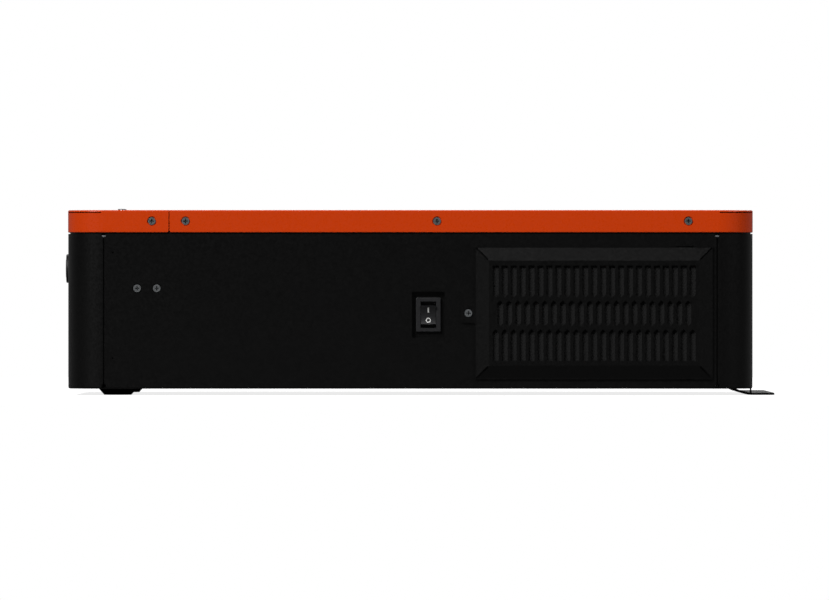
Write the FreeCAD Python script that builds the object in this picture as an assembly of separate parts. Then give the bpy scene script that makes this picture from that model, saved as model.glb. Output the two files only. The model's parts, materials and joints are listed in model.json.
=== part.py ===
"""Wall-mount solar inverter charger, lying on its back with its front covers up.

+X runs from the wiring end to the top end, the switch side faces -Y, +Z leaves the wall.
Every piece is drawn about the middle of the body and moved as it is saved, so that the
origin is the middle of the overall length and width, on the plane of the wall.  Millimetres.
"""
import FreeCAD, Part
import math
import os

V = FreeCAD.Vector

# ---------------------------------------------------------------- driving dimensions
# housing
BODY_LENGTH = 416.5
BODY_WIDTH = 300.0
WALL_HEIGHT = 94.1        # back plate's outer face to the walls' top edge
SHADOW_GAP = 0.8          # between the walls and the covers' skirts
SKIRT_HEIGHT = 13.6
SHEET = 1.2
CORNER_RADIUS = 21.4
OVERHANG = 0.1            # the covers stand this far outside the walls
BOTTOM_BEND = 1.1
COVER_BEND = 0.9
SKIRT_EDGE = 0.5
SEAM_FROM_END = 22.05     # middle of the seam between a long side and a rolled corner
SEAM = 0.8
SLIP = 0.2                # plain clearance between pieces that only lie beside each other
RIM_OVERLAP = 1.6         # the joggled rim starts this far below the walls' top edge
RIM_SHORT = 1.5           # and ends this far below the covers' plates
RELIEF_WIDTH = 2.6
RELIEF_HEIGHT = 2.1
LAP_REACH = 4.0           # a side's lap behind the rolled corner
LAP_GAP = 0.4
BRACKET_INBOARD = 12.0    # the brackets' reach each side of the seam
BRACKET_OUTBOARD = 5.0
PEG_HOLE = 0.5            # radius
PEG_FROM_SEAM = 5.5
PEG_HEIGHTS = (18.7, 82.8)

# wall mounting
STANDOFF = 3.9            # back plate's outer face to the wall
PAD_FROM_END = 29.75
PAD_SPACING = 220.0
PAD_FLAT_RADIUS = 8.25
PAD_BASE_RADIUS = 11.85
PAD_HOLE_RADIUS = 3.0
LIP_WIDTH = 240.0
LIP_REACH = 13.65         # past the body's end
LIP_ROOT_FROM_END = 16.55
JOGGLE_LENGTH = 16.5
LIP_SLOT_SPACING = 160.0
LIP_SLOT_RADIUS = 3.0
LIP_SLOT_LENGTH = 14.0
LIP_CORNER = 4.0
LIP_TAB_WIDTH = 10.0      # tab of the end panel that reaches down to the lip
LIP_TAB_THICKNESS = 0.8
BRACKET_ARM = 0.9         # height of the bracket's arm
BRACKET_ARM_DROP = 0.9    # arm's top below the walls' top
BRACKET_RISER = 2.0       # width of the upright that carries the arm
RELIEF_PLAY = 0.1         # round the arm's tip in the relief

# covers
SPLIT_FROM_END = 61.75    # middle of the gap between the wiring cover and the main cover
SPLIT = 0.5
SKIRT_CORNER = 1.5
CORNER_SLIT = 0.6
COVER_PLATE_EDGE = 1.1    # the plate's thickness seen over the slit
COVER_SCREW_DROP = 6.7    # below the covers' top
WIRING_SCREW_FROM_SPLIT = 10.5
MAIN_SCREW_FROM_SPLIT = 10.0
MAIN_SCREW_FROM_END = 39.45
POST_FROM_END = 29.85
POST_ACROSS = 7.0         # across its flats

# countersunk M2.5 cross-head screw
SCREW_RADIUS = 1.25
SCREW_HEAD_RADIUS = 2.3
SCREW_HEAD_HEIGHT = 1.05
SCREW_LENGTH = 7.0
FAN_SCREW_LENGTH = 12.0
SCREW_PLAY = 0.1
SINK_RADIUS = 2.85
SINK_LIP = 0.7            # straight depth of the sink before it tapers
SINK_DEPTH = 1.05         # where the head's cone meets the clear hole
CROSS_WIDTH = 0.75
CROSS_LENGTH = 2.6
CROSS_DEPTH = 0.95
PAN_HEAD_RADIUS = 2.8
PAN_HEAD_HEIGHT = 1.8
PAN_SCREW_RADIUS = 2.0

# filter cover on the switch side
FILTER_FROM_END = 25.25
FILTER_LENGTH = 143.1
FILTER_HEIGHT = 79.3
FILTER_BOTTOM = 6.3       # above the back plate's outer face
FILTER_RISE = 4.6
FILTER_BEVEL = 7.8
FILTER_SHEET = 1.0
FILTER_FLANGE = 0.6
MITRE = 0.9
SLOT_PITCH = 5.43
SLOT_WIDTH = 3.7
SLOT_POINT = 1.9
SLOT_ROWS = ((2.9, 22.1, 23), (24.0, 39.5, 22), (41.3, 60.7, 23))
FOAM_THICKNESS = 3.0
TONGUE_FROM_END = 16.8    # tongue's far end, from the cover's right edge
TONGUE_WIDTH = 5.0
TONGUE_REACH = 4.2
TONGUE_SLOT_LENGTH = 11.1
TONGUE_SLOT_HEIGHT = 1.8
TAB_REACH = 9.3
TAB_HEIGHT = 12.1
TAB_SCREW_REACH = 4.7

# fans
FAN_SIZE = 60.0
FAN_DEPTH = 25.0
FAN_DUCT_RADIUS = 28.5
FAN_ROTOR_RADIUS = 27.3
FAN_HUB_RADIUS = 12.0
FAN_SCREW_PITCH = 50.0
FAN_SHAFT_RADIUS = 1.5
FAN_SPACING = 62.0
BLADES = 7
BLADE_PITCH_DEG = 38.0
BLADE_CHORD = 21.0
BLADE_THICKNESS = 1.2
RUNNING_FIT = 0.05

# rocker switch
SWITCH_FROM_FILTER = 29.0
SWITCH_HEIGHT = 45.0
BEZEL_WIDTH = 15.1
BEZEL_HEIGHT = 20.8
BEZEL_THICKNESS = 2.0
WELL_WIDTH = 19.8
WELL_HEIGHT = 27.9
WELL_DEPTH = 3.6
SWITCH_MOUTH_WIDTH = 9.5
SWITCH_MOUTH_HEIGHT = 16.1
SWITCH_BODY_WIDTH = 12.6
SWITCH_BODY_HEIGHT = 18.4
SWITCH_BODY_DEPTH = 14.0
ROCKER_GAP = 0.25
ROCKER_SHORT = 2.55       # the rocker's crest ends this far inside the mouth's ends
ROCKER_TILT_DEG = 10.0
ROCKER_PIN_RADIUS = 1.2
ROCKER_PIVOT_DEPTH = 3.0  # behind the bezel's face
ROCKER_CREST = 4.1        # pivot to the ends of the dished face
ROCKER_DISH = 2.7         # pivot to its middle
ROCKER_HEEL = 3.2         # pivot to the rocker's back
ROCKER_SHOULDER = 0.25
ROCKER_RAISE = 0.35       # pivot above the bezel's middle
BLADE_LENGTH = 8.0
BLADE_HALF_WIDTH = 2.4
BLADE_HALF_THICKNESS = 0.4

# overload protector on the wiring end
RESET_RADIUS = 6.2
RESET_NUT_RADIUS = 8.8
RESET_REACH = 4.2
RESET_NUT_REACH = 3.95
RESET_Y = -28.0
RESET_HEIGHT = 73.3
RESET_TRAVEL = 2.0
RESET_GAP = 0.3
RESET_THREAD_RADIUS = 7.4
RESET_BODY_DEPTH = 34.0

# display
DISPLAY_FROM_SPLIT = 118.0
DISPLAY_LENGTH = 92.0     # along X
DISPLAY_WIDTH = 150.0     # along Y
DISPLAY_PROUD = 0.4
DISPLAY_FLANGE = 4.0
WINDOW_LENGTH = 46.0
WINDOW_WIDTH = 84.0
KEY_LENGTH = 8.0
KEY_WIDTH = 14.0
KEY_PITCH = 22.0
KEY_TRAVEL = 0.5
KEY_GAP = 0.3
LED_RADIUS = 1.6

# wiring chamber
GROMMET_ROW = 34.0        # height of the cable entries over the back plate
AC_ENTRIES = (64.0, 89.0, 114.0)      # from the switch side
PV_ENTRIES = (10.0, 30.0)             # from the middle
BATTERY_ENTRIES = (72.0, 35.0)        # from the far side
AC_CABLE_RADIUS = 7.0
PV_CABLE_RADIUS = 5.0
BATTERY_CABLE_RADIUS = 9.0
GROMMET_WALL = 2.0
GROMMET_LIP = 2.2
GROMMET_PROUD = 0.8
GROMMET_NECK = 0.5        # the neck reaches this far past the panel
GROMMET_BACK = 2.0        # thickness of the inner lip
BAY_WIDTH = 11.0
BAY_WALL = 2.5
BAY_DEPTH = 12.0
BAY_HEIGHT = 11.0
BAY_FLOOR = 22.0          # above the back plate
BLOCK_BACK = 3.0
BLOCK_FROM_END = 32.0
AC_BAYS = 6
PV_BAYS = 2
AC_FROM_SIDE = 18.0
PV_Y = 6.0
CLAMP_SIDE = 7.0
CLAMP_THICKNESS = 1.0
CLAMP_HEAD_RADIUS = 3.0
CLAMP_HEAD = 2.0
CLAMP_FROM_BACK = 4.2
PORT_WIDTH = 12.0
PORT_HEIGHT = 8.0
PORT_DEPTH = 12.0
PORT_WALL = 2.0
PORT_MARGIN = 1.0         # the panel's window is larger by this all round
PORTS = 2
PORT_PITCH = 24.0
PORT_FROM_SIDE = 54.0
PORT_ROW = 71.0           # above the back plate
CARRIER_MARGIN_Y = 12.0
CARRIER_HALF_HEIGHT = 10.0
STUD_RADIUS = 4.0
STUD_LENGTH = 18.0        # above its nut
STUD_SINK = 8.0           # its foot stands this far above the floor
NUT_ACROSS = 13.0
NUT_HEIGHT = 6.5
BATTERY_FROM_END = 38.0
BATTERY_HEIGHT = 24.0
BATTERY_HALF_LENGTH = 15.0
BATTERY_MARGIN = 17.0     # from a stud to the base's end
FENCE_HEIGHT = 16.0
FENCE_THICKNESS = 3.0
GROUND_FROM_END = 24.0
GROUND_Y = 50.0
GROUND_RADIUS = 2.5
GROUND_LENGTH = 18.0
GROUND_NUT_ACROSS = 8.0
GROUND_NUT_HEIGHT = 4.0

# wall between the wiring chamber and the electronics
BULKHEAD_SCREWS_FROM_SPLIT = (7.5, 19.4)
BULKHEAD_SCREW_HEIGHT = 61.0
SHELF_REACH = 9.0
FOOT_REACH = 10.0
FLANGE_REACH = 24.5
FLANGE_CLEAR = 6.0        # the side flanges end this far below the rim
PASSAGE_RADIUS = 8.0
PASSAGE_YS = (-84.0, 17.0, 95.0)
PASSAGE_ROW = 40.0        # above the floor

# electronics
BOARD = 1.6
BOARD_STANDOFF = 10.0
HEATSINK_BASE = 6.0
FIN_THICKNESS = 1.6
FIN_PITCH = 6.6
FIN_HEIGHT = 52.0
HEATSINK_STANDOFF = 12.0
HEATSINK_HALF_GAP = 4.0
HEATSINK_LENGTH = 62.0
HEATSINK_FRONT = 12.0     # from the board's edges
HEATSINK_REAR = 14.0
BOARD_GAP = 6.0           # behind the fans
BOARD_FROM_BULKHEAD = 14.0
BOARD_FROM_END = 16.0
BOARD_FROM_FAR_SIDE = 10.0
STANDOFF_MARGIN = 8.0
SPACER_ACROSS = 6.0
PACKAGES = 5
PACKAGE_PITCH = 30.0
PACKAGE_FIRST = 45.0
PACKAGE_LENGTH = 20.0
PACKAGE_WIDTH = 16.0
PACKAGE_THICKNESS = 5.0
LEG_SPREAD = 5.0
LEG = 1.2
CAN_RADIUS = 15.0
CAN_HEIGHT = 46.0
CAN_PITCH = 32.0
CAN_ROW_PITCH = 31.0
CAN_COLUMNS = 2
CAN_ROWS = 3
CORE_LENGTH = 64.0
CORE_WIDTH = 28.0
CORE_HEIGHT = 56.0
CORE_LEG = 9.0
CORE_WINDOW = 15.0
CORE_MIDDLE_LEG = 16.0
INDUCTORS = 3
INDUCTOR_PITCH = 50.0
RING_OUTER = 19.0
RING_INNER = 11.0
RING_HEIGHT = 16.0
WIRE_BUILD = 3.5          # the winding's thickness round the ring
RELAYS = 2
RELAY_PITCH = 20.0
RELAY_LENGTH = 20.0
RELAY_WIDTH = 16.0
RELAY_HEIGHT = 22.0

# ---------------------------------------------------------------- places worked out
HALF_LENGTH = BODY_LENGTH / 2
HALF_WIDTH = BODY_WIDTH / 2
BACK = STANDOFF
FLOOR = BACK + SHEET
WALL_TOP = BACK + WALL_HEIGHT
SKIRT_BOTTOM = WALL_TOP + SHADOW_GAP
TOP = SKIRT_BOTTOM + SKIRT_HEIGHT
CEILING = TOP - SHEET
SEAM_X = HALF_LENGTH - SEAM_FROM_END
SIDE_END = SEAM_X - SEAM / 2
CORNER_START = SEAM_X + SEAM / 2
SPLIT_X = SPLIT_FROM_END - HALF_LENGTH
POST_X = POST_FROM_END - HALF_LENGTH
PAD_X = PAD_FROM_END - HALF_LENGTH
INNER_Y = HALF_WIDTH - SHEET
RIM_INNER_Y = INNER_Y - SHEET
SCREW_Z = TOP - COVER_SCREW_DROP
WIRING_SCREW_X = SPLIT_X - WIRING_SCREW_FROM_SPLIT
MAIN_SCREW_FIRST = SPLIT_X + MAIN_SCREW_FROM_SPLIT
MAIN_SCREW_LAST = HALF_LENGTH - MAIN_SCREW_FROM_END
MAIN_SCREW_MIDDLE = (MAIN_SCREW_FIRST + MAIN_SCREW_LAST) / 2
COVER_SCREW_XS = (WIRING_SCREW_X, MAIN_SCREW_FIRST, MAIN_SCREW_MIDDLE, MAIN_SCREW_LAST)
BULKHEAD_X = SPLIT_X
BULKHEAD_SCREW_XS = [BULKHEAD_X - reach for reach in BULKHEAD_SCREWS_FROM_SPLIT]
BULKHEAD_SCREW_Z = BACK + BULKHEAD_SCREW_HEIGHT
FILTER_X1 = HALF_LENGTH - FILTER_FROM_END
FILTER_X0 = FILTER_X1 - FILTER_LENGTH
FILTER_Z0 = BACK + FILTER_BOTTOM
FILTER_Z1 = FILTER_Z0 + FILTER_HEIGHT
FILTER_MID_X = (FILTER_X0 + FILTER_X1) / 2
FILTER_MID_Z = (FILTER_Z0 + FILTER_Z1) / 2
FILTER_SCREW_X = FILTER_X0 - TAB_SCREW_REACH
SWITCH_X = FILTER_X0 - SWITCH_FROM_FILTER
SWITCH_Z = BACK + SWITCH_HEIGHT
RESET_Z = BACK + RESET_HEIGHT
DISPLAY_X = SPLIT_X + DISPLAY_FROM_SPLIT
AC_GROMMETS = [(d - HALF_WIDTH, AC_CABLE_RADIUS) for d in AC_ENTRIES]
PV_GROMMETS = [(y, PV_CABLE_RADIUS) for y in PV_ENTRIES]
BATTERY_GROMMETS = [(HALF_WIDTH - d, BATTERY_CABLE_RADIUS) for d in BATTERY_ENTRIES]
GROMMETS = AC_GROMMETS + PV_GROMMETS + BATTERY_GROMMETS
GROMMET_Z = BACK + GROMMET_ROW
BLOCK_X = BLOCK_FROM_END - HALF_LENGTH
BAY_Z = FLOOR + BAY_FLOOR
AC_Y = AC_FROM_SIDE - HALF_WIDTH
PORT_PLACES = [(PORT_FROM_SIDE - HALF_WIDTH + PORT_PITCH * i, BACK + PORT_ROW) for i in range(PORTS)]
BATTERY_YS = [y for y, _ in BATTERY_GROMMETS]
BATTERY_X = BATTERY_FROM_END - HALF_LENGTH
BATTERY_TOP = FLOOR + BATTERY_HEIGHT
STUD_FOOT = FLOOR + STUD_SINK
STUD_TIP = BATTERY_TOP + NUT_HEIGHT + STUD_LENGTH
GROUND_X = GROUND_FROM_END - HALF_LENGTH
BOARD_Z = FLOOR + BOARD_STANDOFF
BOARD_TOP = BOARD_Z + BOARD
BOARD_X0 = BULKHEAD_X + BOARD_FROM_BULKHEAD
BOARD_X1 = HALF_LENGTH - BOARD_FROM_END
BOARD_Y0 = -INNER_Y + FAN_DEPTH + BOARD_GAP
BOARD_Y1 = INNER_Y - BOARD_FROM_FAR_SIDE
HEATSINK_Z = BOARD_TOP + HEATSINK_STANDOFF
SINK_SPANS = (
    (FILTER_MID_X - HEATSINK_HALF_GAP - HEATSINK_LENGTH, FILTER_MID_X - HEATSINK_HALF_GAP),
    (FILTER_MID_X + HEATSINK_HALF_GAP, FILTER_MID_X + HEATSINK_HALF_GAP + HEATSINK_LENGTH),
)
BODY_SHIFT = V((RESET_REACH - LIP_REACH) / 2, (FILTER_RISE + SLIP - OVERHANG) / 2, 0)
FAR = 1000.0


# ---------------------------------------------------------------- drawing helpers
def box(x0, x1, y0, y1, z0, z1):
    return Part.makeBox(x1 - x0, y1 - y0, z1 - z0, V(x0, y0, z0))


def rod(radius, start, direction, length):
    return Part.makeCylinder(radius, length, start, direction)


def cone(radius_0, radius_1, start, direction, length):
    return Part.makeCone(radius_0, radius_1, length, start, direction)


def prism(points, direction):
    """A polygon of 3-D points, pushed along a vector."""
    return Part.Face(Part.makePolygon(points + points[:1])).extrude(direction)


def join(shapes):
    return shapes[0].multiFuse(shapes[1:]).removeSplitter()


def drill(shape, tools):
    return shape.cut(Part.makeCompound(tools))


def mirrored(shape):
    """The same thing on the far long side."""
    return shape.mirror(V(0, 0, 0), V(0, 1, 0))


def both_sides(shape):
    return [shape, mirrored(shape)]


def rounded_face(x0, x1, y0, y1, radius, z):
    """A level rectangle with round corners."""
    k = radius * (1 - math.sqrt(0.5))
    arcs = [
        (V(x1 - radius, y0, z), V(x1 - k, y0 + k, z), V(x1, y0 + radius, z)),
        (V(x1, y1 - radius, z), V(x1 - k, y1 - k, z), V(x1 - radius, y1, z)),
        (V(x0 + radius, y1, z), V(x0 + k, y1 - k, z), V(x0, y1 - radius, z)),
        (V(x0, y0 + radius, z), V(x0 + k, y0 + k, z), V(x0 + radius, y0, z)),
    ]
    edges = []
    for i, (start, middle, end) in enumerate(arcs):
        edges.append(Part.Arc(start, middle, end).toShape())
        edges.append(Part.LineSegment(end, arcs[(i + 1) % 4][0]).toShape())
    return Part.Face(Part.Wire(edges))


def rounded_block(x0, x1, y0, y1, radius, z0, z1):
    return rounded_face(x0, x1, y0, y1, radius, z0).extrude(V(0, 0, z1 - z0))


def outline(inset, z0, z1):
    """The housing's plan, with its four round corners, drawn in by inset."""
    x, y = HALF_LENGTH - inset, HALF_WIDTH - inset
    return rounded_block(-x, x, -y, y, CORNER_RADIUS - inset, z0, z1)


def outline_ring(inset, thickness, z0, z1):
    return outline(inset, z0, z1).cut(outline(inset + thickness, z0 - 1, z1 + 1))


def level_edges(shape, z):
    """Edges that lie in the level plane at z."""
    return [e for e in shape.Edges if all(abs(v.Z - z) < 1e-6 for v in e.Vertexes)]


def side_window(x0, x1, z0, z1, radius, y0, y1):
    """A block with round corners as seen from the long side."""
    flat = rounded_block(x0, x1, z0, z1, radius, -y1, -y0)
    return flat.rotate(V(0, 0, 0), V(1, 0, 0), 90)


def aim(shape, place, direction):
    """A shape drawn along +Z from the origin, put at a place and turned to a direction."""
    turned = shape.copy()
    turned.Placement = FreeCAD.Placement(place, FreeCAD.Rotation(V(0, 0, 1), direction))
    return turned


def cross_recess():
    """Two crossed V grooves."""
    a, b = CROSS_LENGTH / 2, CROSS_WIDTH / 2
    groove = prism([V(-a, -b, 0), V(-a, b, 0), V(-a, 0, CROSS_DEPTH)], V(2 * a, 0, 0))
    return groove.fuse(groove.rotated(V(0, 0, 0), V(0, 0, 1), 90))


def countersunk_screw(length=SCREW_LENGTH):
    """Head's flat top at the origin, shank along +Z."""
    head = cone(SCREW_HEAD_RADIUS, SCREW_RADIUS, V(0, 0, 0), V(0, 0, 1), SCREW_HEAD_HEIGHT)
    shank = rod(SCREW_RADIUS, V(0, 0, 0), V(0, 0, 1), length)
    return head.fuse(shank).cut(cross_recess())


def sink(through=SHEET):
    """What a countersunk screw needs cut out of a sheet; outer face at the origin."""
    clear = SCREW_RADIUS + SCREW_PLAY
    mouth = rod(SINK_RADIUS, V(0, 0, -1), V(0, 0, 1), 1 + SINK_LIP)
    slope = cone(SINK_RADIUS, clear, V(0, 0, SINK_LIP), V(0, 0, 1), SINK_DEPTH - SINK_LIP)
    return join([mouth, slope, rod(clear, V(0, 0, 0), V(0, 0, 1), through + 1)])


def screw_hole(x, z, depth=8.0):
    """A clear hole for a screw's shank through the switch side's wall."""
    return rod(SCREW_RADIUS + SCREW_PLAY, V(x, -HALF_WIDTH - 1, z), V(0, 1, 0), depth)


# ---------------------------------------------------------------- housing
def rim(keep):
    """The joggled rim inside a wall's top edge, which the covers are screwed to."""
    ring = outline_ring(SHEET, SHEET, WALL_TOP - RIM_OVERLAP, CEILING - RIM_SHORT)
    return ring.common(keep)


def seam_reliefs():
    """Notches at the ends of each seam; the lower one stops short of the back plate's outer face."""
    cuts = []
    low = BACK + BOTTOM_BEND / 2
    for x in (-SEAM_X, SEAM_X):
        x0, x1 = x - RELIEF_WIDTH / 2, x + RELIEF_WIDTH / 2
        for z0, z1 in ((WALL_TOP - RELIEF_HEIGHT, WALL_TOP), (low, low + RELIEF_HEIGHT)):
            cuts += both_sides(box(x0, x1, -HALF_WIDTH - 1, -RIM_INNER_Y + 0.4, z0, z1))
    return cuts


def peg_holes():
    """Small assembly holes through the sides, into the laps behind them."""
    cuts = []
    length = 1 + SHEET + LAP_GAP + 0.8
    for x in (PEG_FROM_SEAM - SEAM_X, SEAM_X - PEG_FROM_SEAM):
        for height in PEG_HEIGHTS:
            cuts += both_sides(rod(PEG_HOLE, V(x, -HALF_WIDTH - 1, BACK + height), V(0, 1, 0), length))
    return cuts


def cover_screw_holes():
    """Clear holes through the rim at every cover screw."""
    return [s for x in COVER_SCREW_XS for s in both_sides(screw_hole(x, SCREW_Z))]


def pad(y):
    """An embossed cone that stands on the wall, and what it takes out of the back plate."""
    wall = SHEET * 0.75
    solid = cone(PAD_FLAT_RADIUS, PAD_BASE_RADIUS, V(PAD_X, y, 0), V(0, 0, 1), BACK)
    solid = solid.makeFillet(0.8, level_edges(solid, 0))
    neck = rod(PAD_BASE_RADIUS, V(PAD_X, y, BACK), V(0, 0, 1), SHEET)
    hollow = cone(PAD_FLAT_RADIUS - wall, PAD_BASE_RADIUS - wall, V(PAD_X, y, SHEET), V(0, 0, 1), BACK + 0.1)
    hole = rod(PAD_HOLE_RADIUS, V(PAD_X, y, -1), V(0, 0, 1), BACK + 2)
    return solid.fuse(neck), [hollow, hole]


def wall_lip():
    """The tongue lanced from the back plate and joggled down to the wall, with two slots."""
    root = HALF_LENGTH - LIP_ROOT_FROM_END
    foot = root + JOGGLE_LENGTH
    tip = HALF_LENGTH + LIP_REACH
    half = SHEET / 2
    bend = (JOGGLE_LENGTH**2 + BACK**2) / (4 * BACK)
    turn = math.asin(JOGGLE_LENGTH / 2 / bend)
    upper = V(root, 0, BACK + half - bend)
    lower = V(foot, 0, half + bend)

    def on(centre, radius, angle):
        return centre + V(radius * math.sin(angle), 0, radius * math.cos(angle))

    def face_line(side):
        """One face of the sheet, from root to tip: +1 the upper face, -1 the lower."""
        r0, r1 = bend + side * half, bend - side * half
        first = [on(upper, r0, 0), on(upper, r0, turn / 2), on(upper, r0, turn)]
        second = [on(lower, r1, math.pi + turn), on(lower, r1, math.pi + turn / 2), on(lower, r1, math.pi)]
        return first, second

    (a0, a1, a2), (b0, b1, b2) = face_line(1)
    (c0, c1, c2), (d0, d1, d2) = face_line(-1)
    start_top, start_low = V(root - 3, 0, FLOOR), V(root - 3, 0, BACK)
    tip_top, tip_low = V(tip, 0, SHEET), V(tip, 0, 0)
    edges = [
        Part.LineSegment(start_top, a0), Part.Arc(a0, a1, a2), Part.Arc(a2, b1, b2),
        Part.LineSegment(b2, tip_top), Part.LineSegment(tip_top, tip_low), Part.LineSegment(tip_low, d2),
        Part.Arc(d2, d1, c2), Part.Arc(c2, c1, c0), Part.LineSegment(c0, start_low),
        Part.LineSegment(start_low, start_top),
    ]
    face = Part.Face(Part.Wire([e.toShape() for e in edges]))
    face.translate(V(0, -LIP_WIDTH / 2, 0))
    lip = face.extrude(V(0, LIP_WIDTH, 0))
    corners = [
        e for e in lip.Edges
        if all(abs(v.X - tip) < 1e-6 for v in e.Vertexes) and e.Length < SHEET + 0.01
    ]
    lip = lip.makeFillet(LIP_CORNER, corners)
    slots = []
    slot_x = (foot + tip) / 2
    for y in (-LIP_SLOT_SPACING / 2, LIP_SLOT_SPACING / 2):
        r, reach = LIP_SLOT_RADIUS, LIP_SLOT_LENGTH / 2
        slots.append(rounded_block(slot_x - r, slot_x + r, y - reach, y + reach, r - 0.001, -1, FLOOR + 1))
    return drill(lip, slots), root


def vent_slots(x0, z0, y0, y1):
    """Rows of pointed slots as on the filter cover; x0, z0 is the field's lower left corner."""
    field = FILTER_LENGTH - 2 * FILTER_BEVEL
    cuts = []
    for row, (low, high, count) in enumerate(SLOT_ROWS):
        first = x0 + field / 2 - (count - 1) * SLOT_PITCH / 2
        z_low, z_high = z0 + low, z0 + high
        low_tip = z_low + (SLOT_POINT if row > 0 else 0)
        high_tip = z_high - (SLOT_POINT if row < 2 else 0)
        for i in range(count):
            x, w = first + i * SLOT_PITCH, SLOT_WIDTH / 2
            points = [V(x - w, y0, low_tip), V(x, y0, z_low), V(x + w, y0, low_tip)]
            points += [V(x + w, y0, high_tip), V(x, y0, z_high), V(x - w, y0, high_tip)]
            if row == 0:
                points[1:2] = []
            if row == 2:
                points[-2:-1] = []
            cuts.append(prism(points, V(0, y1 - y0, 0)))
    return cuts


def fan_centres():
    return [(FILTER_MID_X - FAN_SPACING / 2, FILTER_MID_Z), (FILTER_MID_X + FAN_SPACING / 2, FILTER_MID_Z)]


def fan_screw_places():
    p = FAN_SCREW_PITCH / 2
    return [(x + i * p, z + k * p) for x, z in fan_centres() for i in (-1, 1) for k in (-1, 1)]


def tongue_places():
    """Middle of each of the filter cover's two tongues: x, z."""
    x = FILTER_X1 - TONGUE_FROM_END - TONGUE_WIDTH / 2 + 0.3
    return [(x, FILTER_Z1 + 0.1), (x, FILTER_Z0 - 0.1)]


def side_wall_cuts():
    """Openings in the switch side's wall."""
    y0, y1 = -HALF_WIDTH - 1, -INNER_Y + 0.1
    cuts = [side_window(SWITCH_X - WELL_WIDTH / 2, SWITCH_X + WELL_WIDTH / 2,
                        SWITCH_Z - WELL_HEIGHT / 2, SWITCH_Z + WELL_HEIGHT / 2, 0.8, y0, y1)]
    cuts += [rod(FAN_DUCT_RADIUS, V(x, y0, z), V(0, 1, 0), 3) for x, z in fan_centres()]
    cuts += [aim(sink(), V(x, -HALF_WIDTH, z), V(0, 1, 0)) for x, z in fan_screw_places()]
    cuts.append(screw_hole(FILTER_SCREW_X, FILTER_MID_Z))
    for _, z in tongue_places():
        x0 = FILTER_X1 - TONGUE_FROM_END - TONGUE_WIDTH
        half = TONGUE_SLOT_HEIGHT / 2
        cuts.append(box(x0, x0 + TONGUE_SLOT_LENGTH, y0, y1, z - half, z + half))
    return cuts


def chassis_tray():
    """Back plate and both long sides in one bent sheet."""
    outer = outline(0, BACK, WALL_TOP)
    outer = outer.makeFillet(BOTTOM_BEND, level_edges(outer, BACK))
    tray = outer.cut(outline(SHEET, FLOOR, WALL_TOP + 1))
    tray = tray.cut(box(-FAR, -SIDE_END, -FAR, FAR, FLOOR, FAR))
    tray = tray.cut(box(SIDE_END, FAR, -FAR, FAR, FLOOR, FAR))
    pieces = [tray, rim(box(-SIDE_END, SIDE_END, -FAR, FAR, 0, FAR))]
    for x, way in ((-SIDE_END, -1), (SIDE_END, 1)):
        base = sorted((x - way * 6, x - way * 1))
        reach = sorted((x - way * 6, x + way * LAP_REACH))
        y = -INNER_Y
        z0, z1 = FLOOR + 3, WALL_TOP - RELIEF_HEIGHT
        pieces += both_sides(box(base[0], base[1], y, y + LAP_GAP + SHEET, z0, z1))
        pieces += both_sides(box(reach[0], reach[1], y + LAP_GAP, y + LAP_GAP + SHEET, z0, z1))
    lip, root = wall_lip()
    pieces[0] = pieces[0].cut(box(root - 2, FAR, -LIP_WIDTH / 2 - SEAM, LIP_WIDTH / 2 + SEAM, 0, FLOOR))
    link = box(root - 3, root - 1, -LIP_WIDTH / 2, LIP_WIDTH / 2, BACK, FLOOR)
    hollows = []
    for y in (-PAD_SPACING / 2, PAD_SPACING / 2):
        solid, cuts = pad(y)
        pieces.append(solid)
        hollows += cuts
    tray = join(pieces + [link, lip])
    cuts = hollows + seam_reliefs() + peg_holes() + cover_screw_holes() + side_wall_cuts()
    for x in BULKHEAD_SCREW_XS:
        cuts += both_sides(aim(sink(), V(x, -HALF_WIDTH, BULKHEAD_SCREW_Z), V(0, 1, 0)))
    cuts += vent_slots(FILTER_X0 + FILTER_BEVEL, FILTER_Z0 + FILTER_BEVEL, INNER_Y - 0.1, HALF_WIDTH + 1)
    return drill(tray, cuts)


def end_panel(way):
    """One end of the housing with its two rolled corners; way is -1 at the wiring end."""
    keep = sorted((way * CORNER_START, way * FAR))
    keep = box(keep[0], keep[1], -FAR, FAR, 0, FAR)
    z0 = FLOOR + 0.05
    wall = outline_ring(0, SHEET, z0, WALL_TOP)
    flange = outline_ring(SHEET - 0.01, 8.0, z0, z0 + SHEET)
    panel = join([wall.common(keep), flange.common(keep), rim(keep)])
    return drill(panel, seam_reliefs())


def wiring_end_panel():
    panel = end_panel(-1)
    x = -HALF_LENGTH
    cuts = [rod(r + GROMMET_WALL, V(x - 1, y, GROMMET_Z), V(1, 0, 0), 3) for y, r in GROMMETS]
    cuts.append(rod(RESET_THREAD_RADIUS + SLIP, V(x - 1, RESET_Y, RESET_Z), V(1, 0, 0), 3))
    for y, z in PORT_PLACES:
        w, h = PORT_WIDTH / 2 + PORT_MARGIN, PORT_HEIGHT / 2 + PORT_MARGIN
        cuts.append(box(x - 1, x + 2, y - w, y + w, z - h, z + h))
    return drill(panel, cuts)


def top_end_panel():
    """The end over the wall lip; a tab on the switch side keeps the lip at its depth."""
    x0 = HALF_LENGTH - SHEET
    y0 = -LIP_WIDTH / 2 + SLIP
    tab = box(x0, x0 + LIP_TAB_THICKNESS, y0, y0 + LIP_TAB_WIDTH, SHEET + SLIP / 2, FLOOR + SHEET)
    return join([end_panel(1), tab])


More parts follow.
